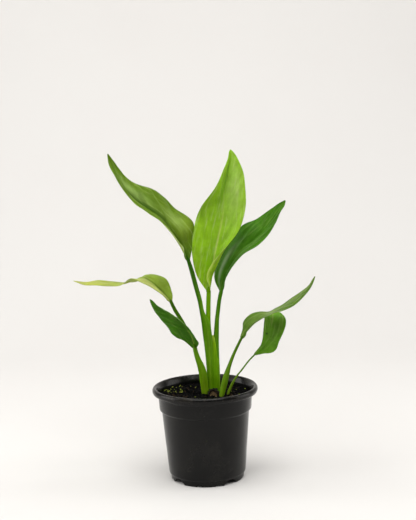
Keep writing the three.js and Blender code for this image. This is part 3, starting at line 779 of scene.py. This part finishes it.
# %% Stalk looks
# base colour; angle in degrees of the channel on the inner side (0 right, 90 back, 180 left, 270 front);
# patches whose second number is the angle divided by 180, from -1 to 1;
# some patches are painted shade and painted highlights, each marked where it stands
STALK_LOOKS = {
    "short_left": ((92, 140, 6), 330, [
        (0.0, 0.0, 0.3, 9.0, (116, 150, 14), 0.8),
        # painted shade on the left side, high up
        (0.65, 0.85, 0.4, 0.4, (46, 84, 0), 0.85),
        (1.0, 0.0, 0.2, 9.0, (66, 116, 4), 0.8),
    ]),
    "long_right": ((74, 116, 10), 200, [
        (0.0, 0.0, 0.4, 9.0, (98, 136, 8), 0.8),
        (0.3, 0.95, 0.3, 0.22, (112, 96, 20), 0.7),
        (0.95, 0.0, 0.3, 9.0, (58, 96, 8), 0.85),
    ]),
    "cupped_right": ((80, 122, 14), 190, [(0.0, 0.0, 0.4, 9.0, (118, 142, 24), 0.8)]),
    "upper_left": ((62, 114, 2), 340, [
        (0.15, 0.0, 0.32, 9.0, (94, 142, 4), 0.85),
        # painted highlight at the crease beside the right leaf's stalk
        (0.55, -0.1, 0.12, 0.3, (118, 168, 24), 0.8),
        (0.9, 0.0, 0.34, 9.0, (34, 84, 2), 0.9),
        # painted shade on the left side
        (0.6, -1.0, 0.4, 0.2, (26, 74, 0), 0.8),
    ]),
    "right": ((62, 116, 4), 200, [
        (0.05, 0.0, 0.34, 9.0, (92, 142, 4), 0.85),
        # painted highlight at the crease beside the upper leaf's stalk
        (0.55, 0.9, 0.14, 0.25, (120, 166, 30), 0.7),
        # painted shade on the left side: this patch and the next
        (0.9, 0.85, 0.3, 0.3, (38, 84, 2), 0.8),
        (0.7, -1.0, 0.3, 0.22, (36, 82, 0), 0.8),
    ]),
    "centre": ((104, 154, 0), 90, [
        (0.1, 0.0, 0.4, 9.0, (104, 148, 4), 0.6),
        # painted shade on the left side, high up
        (0.85, 1.0, 0.4, 0.22, (60, 104, 0), 0.8),
    ]),
    "long_left": ((56, 98, 6), 10, [
        (0.0, 0.0, 0.4, 9.0, (110, 142, 14), 0.8),
        (1.0, 0.0, 0.2, 9.0, (64, 100, 10), 0.7),
    ]),
    "clasping_sheath": ((98, 148, 4), 270, [
        (0.75, 0.0, 0.25, 9.0, (122, 166, 10), 0.8),
        # painted highlight round the top, where the stalks part
        (0.95, 0.0, 0.12, 9.0, (176, 194, 80), 0.7),
        # painted shade: a dark line down the front, in the crease between the two sheaths
        (0.3, -0.5, 0.5, 0.06, (70, 118, 0), 0.5),
    ]),
}
print(len(STALK_LOOKS), "stalk looks")

# %% Build a stalk
STALK_STATIONS = 84
STALK_AROUND = 28
CHANNEL_SHARE = 0.26      # depth of the channel near the blade, as a share of the radius


def stalk_table(name):
    """The stalk's rows, run on a little way into the blade and tapering there."""
    rows = [row[:] for row in STALK_ROWS[name]]
    width, depth = rows[-1][3:]
    if name not in BLADE_ROWS:
        return rows
    for blade_row, share in zip(BLADE_ROWS[name][:2], (0.9, 0.4)):
        rows.append([*blade_row[:3], width * share, depth * share])
    rows[-1][:3] = [0.65 * a + 0.35 * b for a, b in zip(rows[-2][:3], rows[-1][:3])]
    return rows


def build_stalk(name):
    """One closed stalk with a channel, sheath edges, maps and paint."""
    base, channel_angle, patches = STALK_LOOKS[name]
    table = smooth_rows(stalk_table(name), STALK_STATIONS)
    points = table[:, :3]
    front, right = unspun_frames(points)[1:]
    angle = np.linspace(0, math.tau, STALK_AROUND, endpoint=False)
    from_channel = np.angle(np.exp(1j * (angle - math.radians(channel_angle))))
    share = np.linspace(0, 1, STALK_STATIONS)[:, None]
    channel = CHANNEL_SHARE * np.clip(share * 1.6 - 0.3, 0, 1) * np.exp(-(from_channel / 0.55) ** 2)
    edges = 0.035 * np.clip(1.3 - 1.6 * share, 0, 1) * np.exp(-((np.abs(from_channel) - 1.1) / 0.16) ** 2)
    section = 1 - channel + edges
    rings = (points[:, None]
             + right[:, None] * (section * np.cos(angle) * table[:, 3:4] / 2)[..., None]
             - front[:, None] * (section * np.sin(angle) * table[:, 4:5] / 2)[..., None])
    outline = np.concatenate([rings.reshape(-1, 3), [points[0]], [points[-1]]])
    steps = np.linalg.norm(np.diff(points, axis=0), axis=1)
    length = np.concatenate([[0], np.cumsum(steps)])
    along = np.tile(length[:, None], (1, STALK_AROUND))
    turn = np.angle(np.exp(1j * angle)) / math.pi
    around = np.tile(np.abs(turn) * 4, (STALK_STATIONS, 1))
    faces = tube_faces(STALK_STATIONS, STALK_AROUND)
    piece = build_piece(f"{name}_leaf_stalk", outline, faces, [STALK_FINISH])
    ends = [[0, 2], [length[-1], 2]]
    lengths = np.stack([along.ravel(), around.ravel()], axis=1)
    add_map(piece, "lengths", np.concatenate([lengths, ends]) / 100)
    whole = np.tile(share, (1, STALK_AROUND))
    colours = paint_over(base, whole, np.tile(turn, (STALK_STATIONS, 1)), patches)
    pale = (9 * edges).ravel()[:, None]
    colours = colours * (1 - pale) + np.array(srgb(150, 184, 50)[:3]) * pale
    colours = np.concatenate([colours, [colours[0]], [colours[-1]]])
    add_colours(piece, "leaf paint", colours)
    finish_piece(piece, "stalk", *([f"{name}_stalk"] if name in BLADE_ROWS else []))
    return piece


for leaf in STALK_ROWS:
    build_stalk(leaf)

# %% [markdown]
# ## Old leaf base
# The stub of a leaf that was cut off lies among the stalks: a dry, nearly black husk with a woody tan
# end. It is swept like a stalk, its skin is roughened with noise, and the end is a separate material
# with rings of fibre.

# %% Husk and cut wood materials
def make_husk_material():
    """Nearly black dry skin with coarse strands."""
    material, tree, shader = new_material("dry husk", gloss=0.12)
    body = body_place(tree)
    strands = scaled(tree, body, 1.0, 0.25, 1.0)
    grain = speckle(tree, strands, 0.9, 5.0)
    colour = blend(tree, span(tree, grain, 0.35, 0.75), srgb(9, 8, 6), srgb(40, 32, 22))
    dullness = span(tree, grain, 0.3, 0.7, 0.7, 0.95)
    dress(tree, shader, colour, dullness, grain, 0.5)
    return material


def make_cut_wood_material():
    """Tan cut fibres with darker blotches."""
    material, tree, shader = new_material("cut wood", gloss=0.3)
    body = body_place(tree)
    fibres = speckle(tree, body, 0.7, 4.0)
    colour = blend(tree, span(tree, fibres, 0.3, 0.7), srgb(66, 52, 32), srgb(124, 104, 70))
    dark = span(tree, speckle(tree, body, 2.4), 0.55, 0.7, 0.0, 0.6)
    colour = blend(tree, dark, colour, srgb(74, 50, 30))
    dullness = span(tree, fibres, 0.3, 0.7, 0.75, 0.95)
    dress(tree, shader, colour, dullness, fibres, 0.3)
    return material


HUSK = make_husk_material()
CUT_WOOD = make_cut_wood_material()
print("materials:", HUSK.name, "and", CUT_WOOD.name)

# %% Build the old leaf base
# x, y, z and radius of its centre line; it lies towards the viewer
STUMP_ROWS = [[9.2, -0.6, 85, 5.4], [8.8, -5, 87.4, 5.7], [8.3, -8.6, 88.6, 5.5], [8, -11.4, 88.9, 4.7]]
STUMP_STATIONS = 30
STUMP_AROUND = 40


def build_stump():
    """Ragged husk, its rolled-in rim, and the sunken face of cut fibres."""
    table = smooth_rows(STUMP_ROWS, STUMP_STATIONS)
    points = table[:, :3]
    ahead, front, right = unspun_frames(points)
    angle = np.linspace(0, math.tau, STUMP_AROUND, endpoint=False)
    rings = []
    for i, centre in enumerate(points):
        ring = []
        for turn in angle:
            way = right[i] * math.cos(turn) - front[i] * math.sin(turn)
            rough = noise.noise(Vector((centre + 5 * way) * np.array([0.5, 0.2, 0.5])))
            ring.append(centre + way * table[i, 3] * (1.0 + 0.5 * rough))
        rings.append(ring)
    rim = len(rings)
    for inward, sink in ((0.88, -0.5), (0.7, 0.3), (0.56, 1.3), (0.36, 0.8), (0.12, 1.0)):
        rim_points = np.array(rings[rim - 1])
        rings.append(list(points[-1] + inward * (rim_points - points[-1]) - ahead[-1] * sink))
    rings = np.array(rings)
    outline = np.concatenate([rings.reshape(-1, 3), [points[0]], [points[-1] - ahead[-1] * 0.7]])
    faces = tube_faces(len(rings), STUMP_AROUND)
    piece = build_piece("old_leaf_base", outline, faces, [HUSK, CUT_WOOD], 50)
    for face in piece.data.polygons:
        ring = face.vertices[0] // STUMP_AROUND
        face.material_index = int(ring >= rim + 1)
    finish_piece(piece, "old_stub", "cut_leaf_base")
    return piece


build_stump()

# %% [markdown]
# ## Nursery pot
# The pot is blow-moulded from thin black plastic: a foot ring with drainage arches, a tapering body, a
# stacking step, a collar and a rolled lip. A turned profile gives the wall. The arches and notches of
# the foot repeat in each quarter, so a Geometry Nodes tree places bars on a circle and cuts them out.

# %% Pot profile
POT_AROUND = 160
LIP_CENTRE = (51.6, 92.0)          # radius and height of the middle of the rolled lip
LIP_REACH, LIP_RISE = 2.4, 3.2
FLOOR_UNDERSIDE, FLOOR_TOP = 1.5, 3.1
SAG_DROP, SAG_FROM, SAG_FULL, SAG_END = 1.5, -48, -30, 9   # mm, then degrees round from the front
SAG_INSIDE, SAG_TOP = 51.7, 91.4   # the sag moves what lies outside this radius and below this height
THREE_WAVES, FIVE_WAVES = 0.16, 0.1   # mm, size of the wall's waves, three and five to a round


def arc(centre, reach, rise, start, end, steps):
    """Points on part of an ellipse, as [radius, height]."""
    angles = np.radians(np.linspace(start, end, steps + 1))
    return [[centre[0] + reach * math.cos(a), centre[1] + rise * math.sin(a)] for a in angles]


def pot_profile():
    """Radius and height, from the middle of the floor's underside, up the outside and down the inside."""
    outside = [
        [0.01, FLOOR_UNDERSIDE], [20, FLOOR_UNDERSIDE], [34, FLOOR_UNDERSIDE],
        [35.7, 1.4], [35.9, 0.3], [36.2, 0], [37.0, 0], [37.35, 0.3],
        [37.5, 1.5], [37.7, 4.0], [37.8, 5.2], [38.0, 5.7], [38.6, 6.0], [39.2, 6.6], [39.5, 7.8],
        [40.4, 18], [41.3, 29], [42.3, 40], [43.2, 51], [44.1, 62], [44.75, 70.3], [44.95, 71.2],
        [45.4, 71.6], [46.4, 71.9], [46.95, 72.5], [47.2, 73.6], [47.5, 79], [47.9, 84], [48.25, 88.6],
        [48.6, 89.6], [49.3, 90.1], [50.6, 90.2], [51.4, 89.9], [52.0, 89.1], [52.35, 88.85],
        [52.8, 88.95], [53.3, 89.5], [53.75, 90.5],
    ]
    lip = arc(LIP_CENTRE, LIP_REACH, LIP_RISE, -15, 130, 12)
    inside = [
        [49.0, 93.2], [48.2, 91.6], [47.3, 90.4], [46.95, 89.0], [46.6, 84], [46.2, 79], [45.95, 75],
        [45.4, 73.6], [44.0, 72.6], [43.6, 71.4], [42.8, 62], [41.0, 40], [39.2, 18], [38.2, 8.4],
        [36.6, 3.3], [34, FLOOR_TOP], [20, FLOOR_TOP], [0.01, FLOOR_TOP],
    ]
    return np.array(outside + lip + inside)


PROFILE = pot_profile()
print("pot profile:", len(PROFILE), "points, widest", PROFILE[:, 0].max(), "mm")

# %% Turn the pot
def turned_rings(profile, around):
    """Rings of points about the upright axis, going round so that faces point outwards."""
    angles = np.linspace(0, math.tau, around, endpoint=False)
    rings = np.empty((len(profile), around, 3))
    rings[..., 0] = profile[:, :1] * np.sin(angles)
    rings[..., 1] = -profile[:, :1] * np.cos(angles)
    rings[..., 2] = profile[:, 1:]
    return rings


def soften_shape(rings):
    """The lip's sagging stretch, and the slight waviness of a thin moulded wall."""
    x, y, z = rings[..., 0], rings[..., 1], rings[..., 2]
    radius = np.hypot(x, y)
    turn = np.degrees(np.arctan2(x, -y))
    ramp = np.clip((turn - SAG_FROM) / (SAG_FULL - SAG_FROM), 0, 1)
    ramp = ramp * ramp * (3 - 2 * ramp) * np.clip((SAG_END + 1 - turn) / 1.5, 0, 1)
    on_edge = (radius > SAG_INSIDE) & (z < SAG_TOP)
    z -= SAG_DROP * ramp * on_edge * np.clip((SAG_TOP - z) / 1.5, 0, 1)
    wave = THREE_WAVES * np.sin(np.radians(turn) * 3 + 0.6)
    wave = wave + FIVE_WAVES * np.sin(np.radians(turn) * 5 - z * 0.04)
    grow = 1 + wave * np.clip(z / 40, 0, 1) / np.maximum(radius, 20) * (radius > 30)
    rings[..., 0] = x * grow
    rings[..., 1] = y * grow
    return rings


pot_rings = soften_shape(turned_rings(PROFILE, POT_AROUND))
pot_axis_ends = [[0, 0, FLOOR_UNDERSIDE], [0, 0, FLOOR_TOP]]
pot_points = np.concatenate([pot_rings.reshape(-1, 3), pot_axis_ends])
print("turned pot:", len(pot_points), "points")

# %% [markdown]
# ### Arches of the foot
# The tree repeats one round bar at even turns about the axis and subtracts it from the mesh it is put
# on. It is used three times, with other sizes: for the wide arches, the narrow notches and the
# shallow notches. The manifold solver keeps the pot a closed solid.

# %% Geometry Nodes helpers
def new_geometry_tree(name, inputs):
    """A Geometry Nodes tree that takes and gives one geometry, with more named inputs."""
    tree = bpy.data.node_groups.new(name, "GeometryNodeTree")
    tree.interface.new_socket("Geometry", in_out="INPUT", socket_type="NodeSocketGeometry")
    for label, (kind, value) in inputs.items():
        socket = tree.interface.new_socket(label, in_out="INPUT", socket_type=kind)
        if value is not None:
            socket.default_value = value
    tree.interface.new_socket("Geometry", in_out="OUTPUT", socket_type="NodeSocketGeometry")
    given = tree.nodes.new("NodeGroupInput").outputs
    gives = tree.nodes.new("NodeGroupOutput").inputs
    return tree, given, gives


def run_tree(piece, tree, settings):
    """Runs a tree on a piece and keeps the plain mesh that comes out."""
    modifier = piece.modifiers.new(tree.name, "NODES")
    modifier.node_group = tree
    for item in tree.interface.items_tree:
        if item.in_out == "INPUT" and item.name in settings:
            modifier[item.identifier] = settings[item.name]
    evaluated = piece.evaluated_get(bpy.context.evaluated_depsgraph_get())
    mesh = bpy.data.meshes.new_from_object(evaluated)
    piece.modifiers.remove(modifier)
    old = piece.data
    piece.data = mesh
    bpy.data.meshes.remove(old)
    mesh.name = piece.name
    return piece


print("tree helpers ready")

# %% Tree: bars cut out round a ring
def make_arch_tree():
    """Subtracts a bar, repeated at even turns about the upright axis, from the mesh it is given."""
    number = "NodeSocketFloat"
    tree, given, gives = new_geometry_tree("foot arches", {
        "Count": ("NodeSocketInt", 4), "First Turn": (number, 0.0), "Ring Radius": (number, 0.0374),
        "Bar Radius": (number, 0.005), "Arch Height": (number, 0.004),
        "Material": ("NodeSocketMaterial", None)})
    # the bar is longer than the foot is thick
    bar = add_node(tree, "GeometryNodeMeshCylinder",
                   {"Vertices": 40, "Radius": given["Bar Radius"], "Depth": 12 * MM})
    drop = maths(tree, "SUBTRACT", given["Arch Height"], given["Bar Radius"])
    forward = times(tree, given["Ring Radius"], -1.0)
    place = vector(tree, 0.0, forward, drop)
    laid = add_node(tree, "GeometryNodeTransform",
                    {"Geometry": bar.outputs["Mesh"], "Translation": place, "Rotation": (math.pi / 2, 0, 0)})
    dots = add_node(tree, "GeometryNodePoints", {"Count": given["Count"]})
    number_of = add_node(tree, "GeometryNodeInputIndex").outputs[0]
    step = maths(tree, "DIVIDE", math.tau, given["Count"])
    turn = plus(tree, times(tree, number_of, step), given["First Turn"])
    way = vector(tree, 0.0, 0.0, turn)
    bars = add_node(tree, "GeometryNodeInstanceOnPoints",
                    {"Points": dots.outputs[0], "Instance": laid.outputs[0], "Rotation": way})
    solid = add_node(tree, "GeometryNodeRealizeInstances", {0: bars.outputs[0]})
    cut = tree.nodes.new("GeometryNodeMeshBoolean")
    cut.operation = "DIFFERENCE"
    cut.solver = "MANIFOLD"
    tree.links.new(given["Geometry"], cut.inputs["Mesh 1"])
    tree.links.new(solid.outputs[0], cut.inputs["Mesh 2"])
    finish = add_node(tree, "GeometryNodeSetMaterial",
                      {"Geometry": cut.outputs[0], "Material": given["Material"]})
    tree.links.new(finish.outputs[0], gives[0])
    return tree


ARCH_TREE = make_arch_tree()
print("tree:", ARCH_TREE.name)

# %% [markdown]
# ### Pot plastic
# The plastic is charcoal black with a satin skin. Thin recycled plastic is never even: it has faint
# flow marks, fine scuffs round the body, a matt bloom of dried dust, and more dust on the rim where
# soil was brushed off. The dust only gathers where the wall is high up, so its mask uses the height.

# %% Shared group: dust
def make_dust_group():
    """Broken blotches of dust, and their grain."""
    tree, given, gives = new_group(
        "settled dust", {"Where": ("vector", (0, 0, 0)), "Blotch": ("float", 9.0), "Amount": ("float", 0.5)},
        {"Mask": "float", "Grain": "float"})
    scale = maths(tree, "DIVIDE", 1000.0, given["Blotch"])
    cloud = add_node(tree, "ShaderNodeTexNoise", {"Vector": given["Where"], "Scale": scale, "Detail": 5.0,
                                                  "Roughness": 0.65}).outputs["Fac"]
    grain = add_node(tree, "ShaderNodeTexNoise", {"Vector": given["Where"], "Scale": 1400.0, "Detail": 2.0})
    fine = grain.outputs["Fac"]
    soft = span(tree, cloud, 0.42, 0.78)
    broken = times(tree, soft, span(tree, fine, 0.35, 0.7, 0.4, 1.0))
    mask = times(tree, broken, given["Amount"])
    tree.links.new(mask, gives["Mask"])
    tree.links.new(fine, gives["Grain"])
    return tree


DUST = make_dust_group()
print("group:", DUST.name)

# %% Pot material
def make_pot_material():
    """Satin black plastic with soft flow marks, scuffs and dust."""
    material, tree, shader = new_material("black nursery plastic", gloss=0.19)
    body = body_place(tree)
    height = add_node(tree, "ShaderNodeSeparateXYZ", {0: body}).outputs[2]
    level = scaled(tree, body, 0.6, 0.6, 2.0)
    flow = speckle(tree, body, 24.0, 1.0)
    scuff = span(tree, speckle(tree, level, 1.6, 5.0, 0.7), 0.6, 0.78)
    colour = blend(tree, span(tree, flow, 0.3, 0.7), srgb(9, 9, 8), srgb(15, 15, 14))
    colour = blend(tree, times(tree, scuff, 0.04), colour, srgb(70, 69, 67))
    thin = use_group(tree, DUST, Where=body, Blotch=26.0, Amount=0.05)
    colour = blend(tree, thin["Mask"], colour, srgb(120, 112, 100))
    high = span(tree, height, 88 * MM, 93 * MM)
    rim = use_group(tree, DUST, Where=body, Blotch=7.0, Amount=0.12)
    rim_dust = times(tree, rim["Mask"], high)
    colour = blend(tree, rim_dust, colour, srgb(150, 138, 122))
    satin = span(tree, flow, 0.3, 0.7, 0.17, 0.25)
    dusty = plus(tree, rim_dust, thin["Mask"])
    dull = plus(tree, satin, times(tree, dusty, 0.5))
    relief = plus(tree, flow, times(tree, rim_dust, 0.4))
    dress(tree, shader, colour, dull, relief, 0.2)
    return material


POT_PLASTIC = make_pot_material()
print("material:", POT_PLASTIC.name)

# %% Cut the foot and finish the pot
FIRST_ARCH = 38.5      # degrees to the right of the front
FOOT_CUTS = {          # first turn in degrees, bar radius and height in mm
    "arches": (FIRST_ARCH, 9.75, 4.8),
    "narrow notches": (FIRST_ARCH + 38, 2.6, 2.0),
    "shallow notches": (FIRST_ARCH - 21.5, 5.4, 2.1),
}
pot = build_piece("pot", pot_points, tube_faces(len(PROFILE), POT_AROUND), [POT_PLASTIC])
for turn, radius, height in FOOT_CUTS.values():
    run_tree(pot, ARCH_TREE, {
        "Count": 4, "First Turn": math.radians(turn), "Ring Radius": 37.4 * MM,
        "Bar Radius": radius * MM, "Arch Height": height * MM, "Material": POT_PLASTIC})
pot.data.shade_smooth()
pot.data.set_sharp_from_angle(angle=math.radians(38))
finish_piece(pot, "pot_plastic", "nursery_pot")

# %% [markdown]
# ## Potting soil
# The soil fills the pot nearly to the brim: black peat with shreds of bark and a few pale flakes. A
# closed bed gives the mass with a lumpy top. Geometry Nodes then scatter thousands of crumbs over the
# top, each kind within its own round patch. A crumb has only twenty faces, because there are so many
# of them, and a little noise after they are made real keeps any two from looking the same.

# %% Soil materials
def make_soil_material(name, dark, light, share):
    """Matt peat or bark, with two tones mixed by noise."""
    material, tree, shader = new_material(name, gloss=0.08)
    body = body_place(tree)
    fine = speckle(tree, body, 1.3, 5.0, 0.7)
    broad = speckle(tree, body, 7.0)
    colour = blend(tree, span(tree, fine, share, share + 0.25), dark, light)
    colour = blend(tree, span(tree, broad, 0.4, 0.7, 0.0, 0.5), colour, dark)
    dullness = span(tree, fine, 0.3, 0.7, 0.8, 1.0)
    dress(tree, shader, colour, dullness, fine, 0.5)
    return material


# the light tone of the peat is partly paler grains and partly painted highlight on the crumbs
PEAT = make_soil_material("moist peat", srgb(2, 2, 2), srgb(54, 50, 42), 0.62)
BARK = make_soil_material("bark shreds", srgb(34, 25, 16), srgb(84, 66, 40), 0.45)
FLAKES = make_soil_material("pale flakes", srgb(96, 112, 30), srgb(168, 172, 84), 0.4)
print("materials:", PEAT.name + ",", BARK.name + ",", FLAKES.name)

# %% Soil bed
SOIL_HEIGHT = 86.0
SOIL_RINGS = 44
SOIL_AROUND = 120
SOIL_EDGE = 46.3
SOIL_FLOOR = 3.4
SOIL_MIDDLE = 0.3      # radius of the innermost ring
# radius and height up the side
SOIL_SIDE = [[36.3, SOIL_FLOOR], [38.0, 8.8], [43.3, 72.2], [45.6, 74.8], [SOIL_EDGE, 80]]


def soil_height(x, y):
    """Broad swells and small lumps of the surface, in mm."""
    swell = math.sin(x * 0.13 + 0.7) * math.cos(y * 0.11 - 0.4)
    lumps = noise.noise(Vector((x, y, 0)) * 0.22) + 0.6 * noise.noise(Vector((x, y, 9)) * 0.55)
    return SOIL_HEIGHT + 0.6 * swell + 0.9 * lumps


def build_soil_bed():
    """A closed bed with a lumpy top."""
    radii = np.linspace(SOIL_EDGE, SOIL_MIDDLE, SOIL_RINGS)
    top = [[radius, SOIL_HEIGHT] for radius in radii]
    side = [[SOIL_MIDDLE, SOIL_FLOOR], *SOIL_SIDE]
    rings = turned_rings(np.array(side + top), SOIL_AROUND)
    surface = rings[len(side):].reshape(-1, 3)
    for point in surface:
        point[2] = soil_height(point[0], point[1])
    middle = [[0, 0, SOIL_FLOOR], [0, 0, soil_height(0, 0)]]
    points = np.concatenate([rings[:len(side)].reshape(-1, 3), surface, middle])
    piece = build_piece("soil_bed", points, tube_faces(len(rings), SOIL_AROUND), [PEAT])
    finish_piece(piece, "soil", "potting_soil")
    return piece


soil_bed = build_soil_bed()

# %% Tree: crumbs over the top of a mesh
def make_crumb_tree():
    """Replaces a mesh by crumbs scattered over those of its faces that look up, within a round patch."""
    number = "NodeSocketFloat"
    tree, given, gives = new_geometry_tree("scattered crumbs", {
        "Density": (number, 4e5), "Smallest": (number, 0.0005), "Largest": (number, 0.0015),
        "Stretch": (number, 1.0), "Flatness": (number, 0.8), "Raggedness": (number, 0.0004),
        "Lift": (number, 0.0), "Patch Centre": ("NodeSocketVector", (0, 0, 0)),
        "Patch Radius": (number, 0.045),
        "Seed": ("NodeSocketInt", 1), "Material": ("NodeSocketMaterial", None)})
    facing = add_node(tree, "GeometryNodeInputNormal").outputs[0]
    upward = add_node(tree, "ShaderNodeSeparateXYZ", {0: facing})
    position = add_node(tree, "GeometryNodeInputPosition").outputs[0]
    distance = add_node(tree, "ShaderNodeVectorMath",
                        {0: position, 1: given["Patch Centre"]}, operation="DISTANCE")
    facing_up = maths(tree, "GREATER_THAN", upward.outputs[2], 0.5)
    within = maths(tree, "LESS_THAN", distance.outputs["Value"], given["Patch Radius"])
    chosen = times(tree, facing_up, within)
    dots = add_node(tree, "GeometryNodeDistributePointsOnFaces",
                    {"Mesh": given["Geometry"], "Selection": chosen, "Density": given["Density"],
                     "Seed": given["Seed"]})
    crumb = add_node(tree, "GeometryNodeMeshIcoSphere", {"Radius": 1.0, "Subdivisions": 1})
    # a random value's float sockets are its third and fourth inputs and its second output
    size = add_node(tree, "FunctionNodeRandomValue",
                    {2: given["Smallest"], 3: given["Largest"], "Seed": given["Seed"]}, data_type="FLOAT")
    grain = size.outputs[1]
    shape = vector(tree, times(tree, grain, given["Stretch"]), grain,
                   times(tree, grain, given["Flatness"]))
    spin = add_node(tree, "FunctionNodeRandomValue", {0: (-0.5, -0.5, 0.0), 1: (0.5, 0.5, math.tau)},
                    data_type="FLOAT_VECTOR")
    tree.links.new(plus(tree, given["Seed"], 7.0), spin.inputs["Seed"])
    crumbs = add_node(tree, "GeometryNodeInstanceOnPoints",
                      {"Points": dots.outputs["Points"], "Instance": crumb.outputs["Mesh"],
                       "Rotation": spin.outputs[0], "Scale": shape})
    real = add_node(tree, "GeometryNodeRealizeInstances", {0: crumbs.outputs[0]})
    rough = add_node(tree, "ShaderNodeTexNoise", {"Scale": 900.0, "Detail": 1.0}).outputs["Color"]
    centred = add_node(tree, "ShaderNodeVectorMath", {0: rough, 1: (0.5, 0.5, 0.5)}, operation="SUBTRACT")
    shove = add_node(tree, "ShaderNodeVectorMath",
                     {0: centred.outputs[0], "Scale": given["Raggedness"]}, operation="SCALE")
    raised = vector(tree, 0.0, 0.0, given["Lift"])
    offset = add_node(tree, "ShaderNodeVectorMath",
                      {0: shove.outputs[0], 1: raised}, operation="ADD").outputs[0]
    moved = add_node(tree, "GeometryNodeSetPosition", {"Geometry": real.outputs[0], "Offset": offset})
    finish = add_node(tree, "GeometryNodeSetMaterial",
                      {"Geometry": moved.outputs[0], "Material": given["Material"]})
    tree.links.new(finish.outputs[0], gives[0])
    return tree


CRUMB_TREE = make_crumb_tree()
print("tree:", CRUMB_TREE.name)

# %% Scatter the soil
SCATTERS = {  # crumbs per square metre, sizes, stretch, flatness, raggedness and lift in mm, seed, material,
    # then the x, y and radius in mm of the round patch they land in
    "fine_crumbs": (3.4e5, 0.4, 1.1, 1.2, 0.8, 1.0, 0.2, 3, PEAT, (0, 0, 45.5)),
    "coarse_crumbs": (5.5e4, 1.1, 2.2, 1.5, 0.7, 1.8, 0.3, 11, PEAT, (0, 0, 42.5)),
    "bark_shreds": (1.3e4, 0.45, 0.8, 4.2, 0.5, 0.6, 0.8, 23, BARK, (0, 0, 42)),
    "pale_bits": (3.0e3, 0.4, 0.9, 1.6, 0.5, 0.5, 1.3, 37, FLAKES, (0, 0, 44)),
    "leaf_bits": (5.0e4, 0.4, 0.9, 1.8, 0.4, 0.5, 1.5, 41, FLAKES, (-33, 12, 11)),
    "far_leaf_bits": (6.0e4, 0.4, 0.8, 1.8, 0.4, 0.5, 1.5, 47, FLAKES, (-33, 33, 7)),
    "brown_bits": (3.4e4, 0.5, 1.0, 1.8, 0.4, 0.5, 1.2, 43, BARK, (-30, -10, 14)),
}


def scatter(name, density, smallest, largest, stretch, flatness, raggedness, lift, seed, material, patch):
    """One scattering over the soil bed, as a plain mesh of its own."""
    x, y, radius = patch
    piece = bpy.data.objects.new(name, soil_bed.data.copy())
    bpy.context.scene.collection.objects.link(piece)
    run_tree(piece, CRUMB_TREE, {
        "Density": density, "Smallest": smallest * MM, "Largest": largest * MM, "Stretch": stretch,
        "Flatness": flatness, "Raggedness": raggedness * MM, "Lift": lift * MM,
        "Patch Centre": (x * MM, y * MM, SOIL_HEIGHT * MM), "Patch Radius": radius * MM, "Seed": seed,
        "Material": material})
    # only the last slot, the crumbs' own material, is kept
    while len(piece.data.materials) > 1:
        piece.data.materials.pop(index=0)
    piece.data.polygons.foreach_set("material_index", [0] * len(piece.data.polygons))
    finish_piece(piece, "soil")
    return piece


for name, settings in SCATTERS.items():
    scatter(name, *settings)

# %% [markdown]
# ## Floor and light
# The plant stands on a plain pale surface that curves up behind it, so no horizon shows. Light comes
# from a big soft box overhead and one on each side, the left one brighter. The side boxes also give
# the pot its soft upright reflections. A fourth box lights the backdrop, and the world adds a weak
# even fill.

# %% Floor
FLOOR_HALF = 1.9
FLOOR_FRONT = -2.2
CURVE_START = 0.55
CURVE_RADIUS = 0.6
CURVE_STEPS = 16
BACK_TOP = 2.2


def make_floor_material():
    """Matt, nearly white, with a trace of cloudiness."""
    material, tree, shader = new_material("pale floor", gloss=0.2)
    body = body_place(tree)
    cloud = speckle(tree, body, 300.0)
    tree.links.new(blend(tree, cloud, srgb(212, 210, 208), srgb(215, 214, 212)), shader.inputs["Base Color"])
    shader.inputs["Roughness"].default_value = 0.85
    return material


def build_floor():
    """A flat floor that sweeps up into a wall behind."""
    profile = [[FLOOR_FRONT, 0.0], [CURVE_START, 0.0]]
    for step in range(1, CURVE_STEPS + 1):
        angle = math.radians(90 * step / CURVE_STEPS)
        profile.append([CURVE_START + CURVE_RADIUS * math.sin(angle), CURVE_RADIUS * (1 - math.cos(angle))])
    profile.append([CURVE_START + CURVE_RADIUS, BACK_TOP])
    points = [(side * FLOOR_HALF / MM, y / MM, z / MM) for y, z in profile for side in (-1, 1)]
    faces = [(2 * i, 2 * i + 1, 2 * i + 3, 2 * i + 2) for i in range(len(profile) - 1)]
    floor = build_piece("floor", points, faces, [make_floor_material()])


build_floor()
print("floor sweeps up", BACK_TOP, "m")

# %% Lights
def add_softbox(name, place, aim, size, power, colour=(1.0, 0.985, 0.965)):
    """A rectangular area light that faces a point."""
    light = bpy.data.lights.new(name, "AREA")
    light.shape = "RECTANGLE"
    light.size, light.size_y = size
    light.energy = power
    light.color = colour
    lamp = bpy.data.objects.new(name, light)
    way = Vector(aim) - Vector(place)
    lamp.matrix_world = Matrix.Translation(place) @ way.to_track_quat("-Z", "Y").to_matrix().to_4x4()
    bpy.context.scene.collection.objects.link(lamp)


PLANT_MIDDLE = (0.0, 0.0, 0.17)
add_softbox("top_box", (0.0, -0.6, 1.4), PLANT_MIDDLE, (1.6, 1.2), 24.0)
add_softbox("left_box", (-1.2, -0.02, 0.5), PLANT_MIDDLE, (0.9, 1.1), 10.0)
add_softbox("right_box", (1.2, 0.08, 0.5), PLANT_MIDDLE, (0.8, 1.1), 6.0)
add_softbox("back_box", (0.0, 0.35, 1.7), (0.0, 1.0, 0.3), (2.4, 0.5), 12.0)

world = bpy.data.worlds.new("studio")
world.use_nodes = True
world.node_tree.nodes["Background"].inputs["Color"].default_value = (1.0, 0.99, 0.98, 1.0)
world.node_tree.nodes["Background"].inputs["Strength"].default_value = 0.12
bpy.context.scene.world = world
bpy.context.scene.view_settings.view_transform = "Standard"
print("four soft boxes and a weak fill")
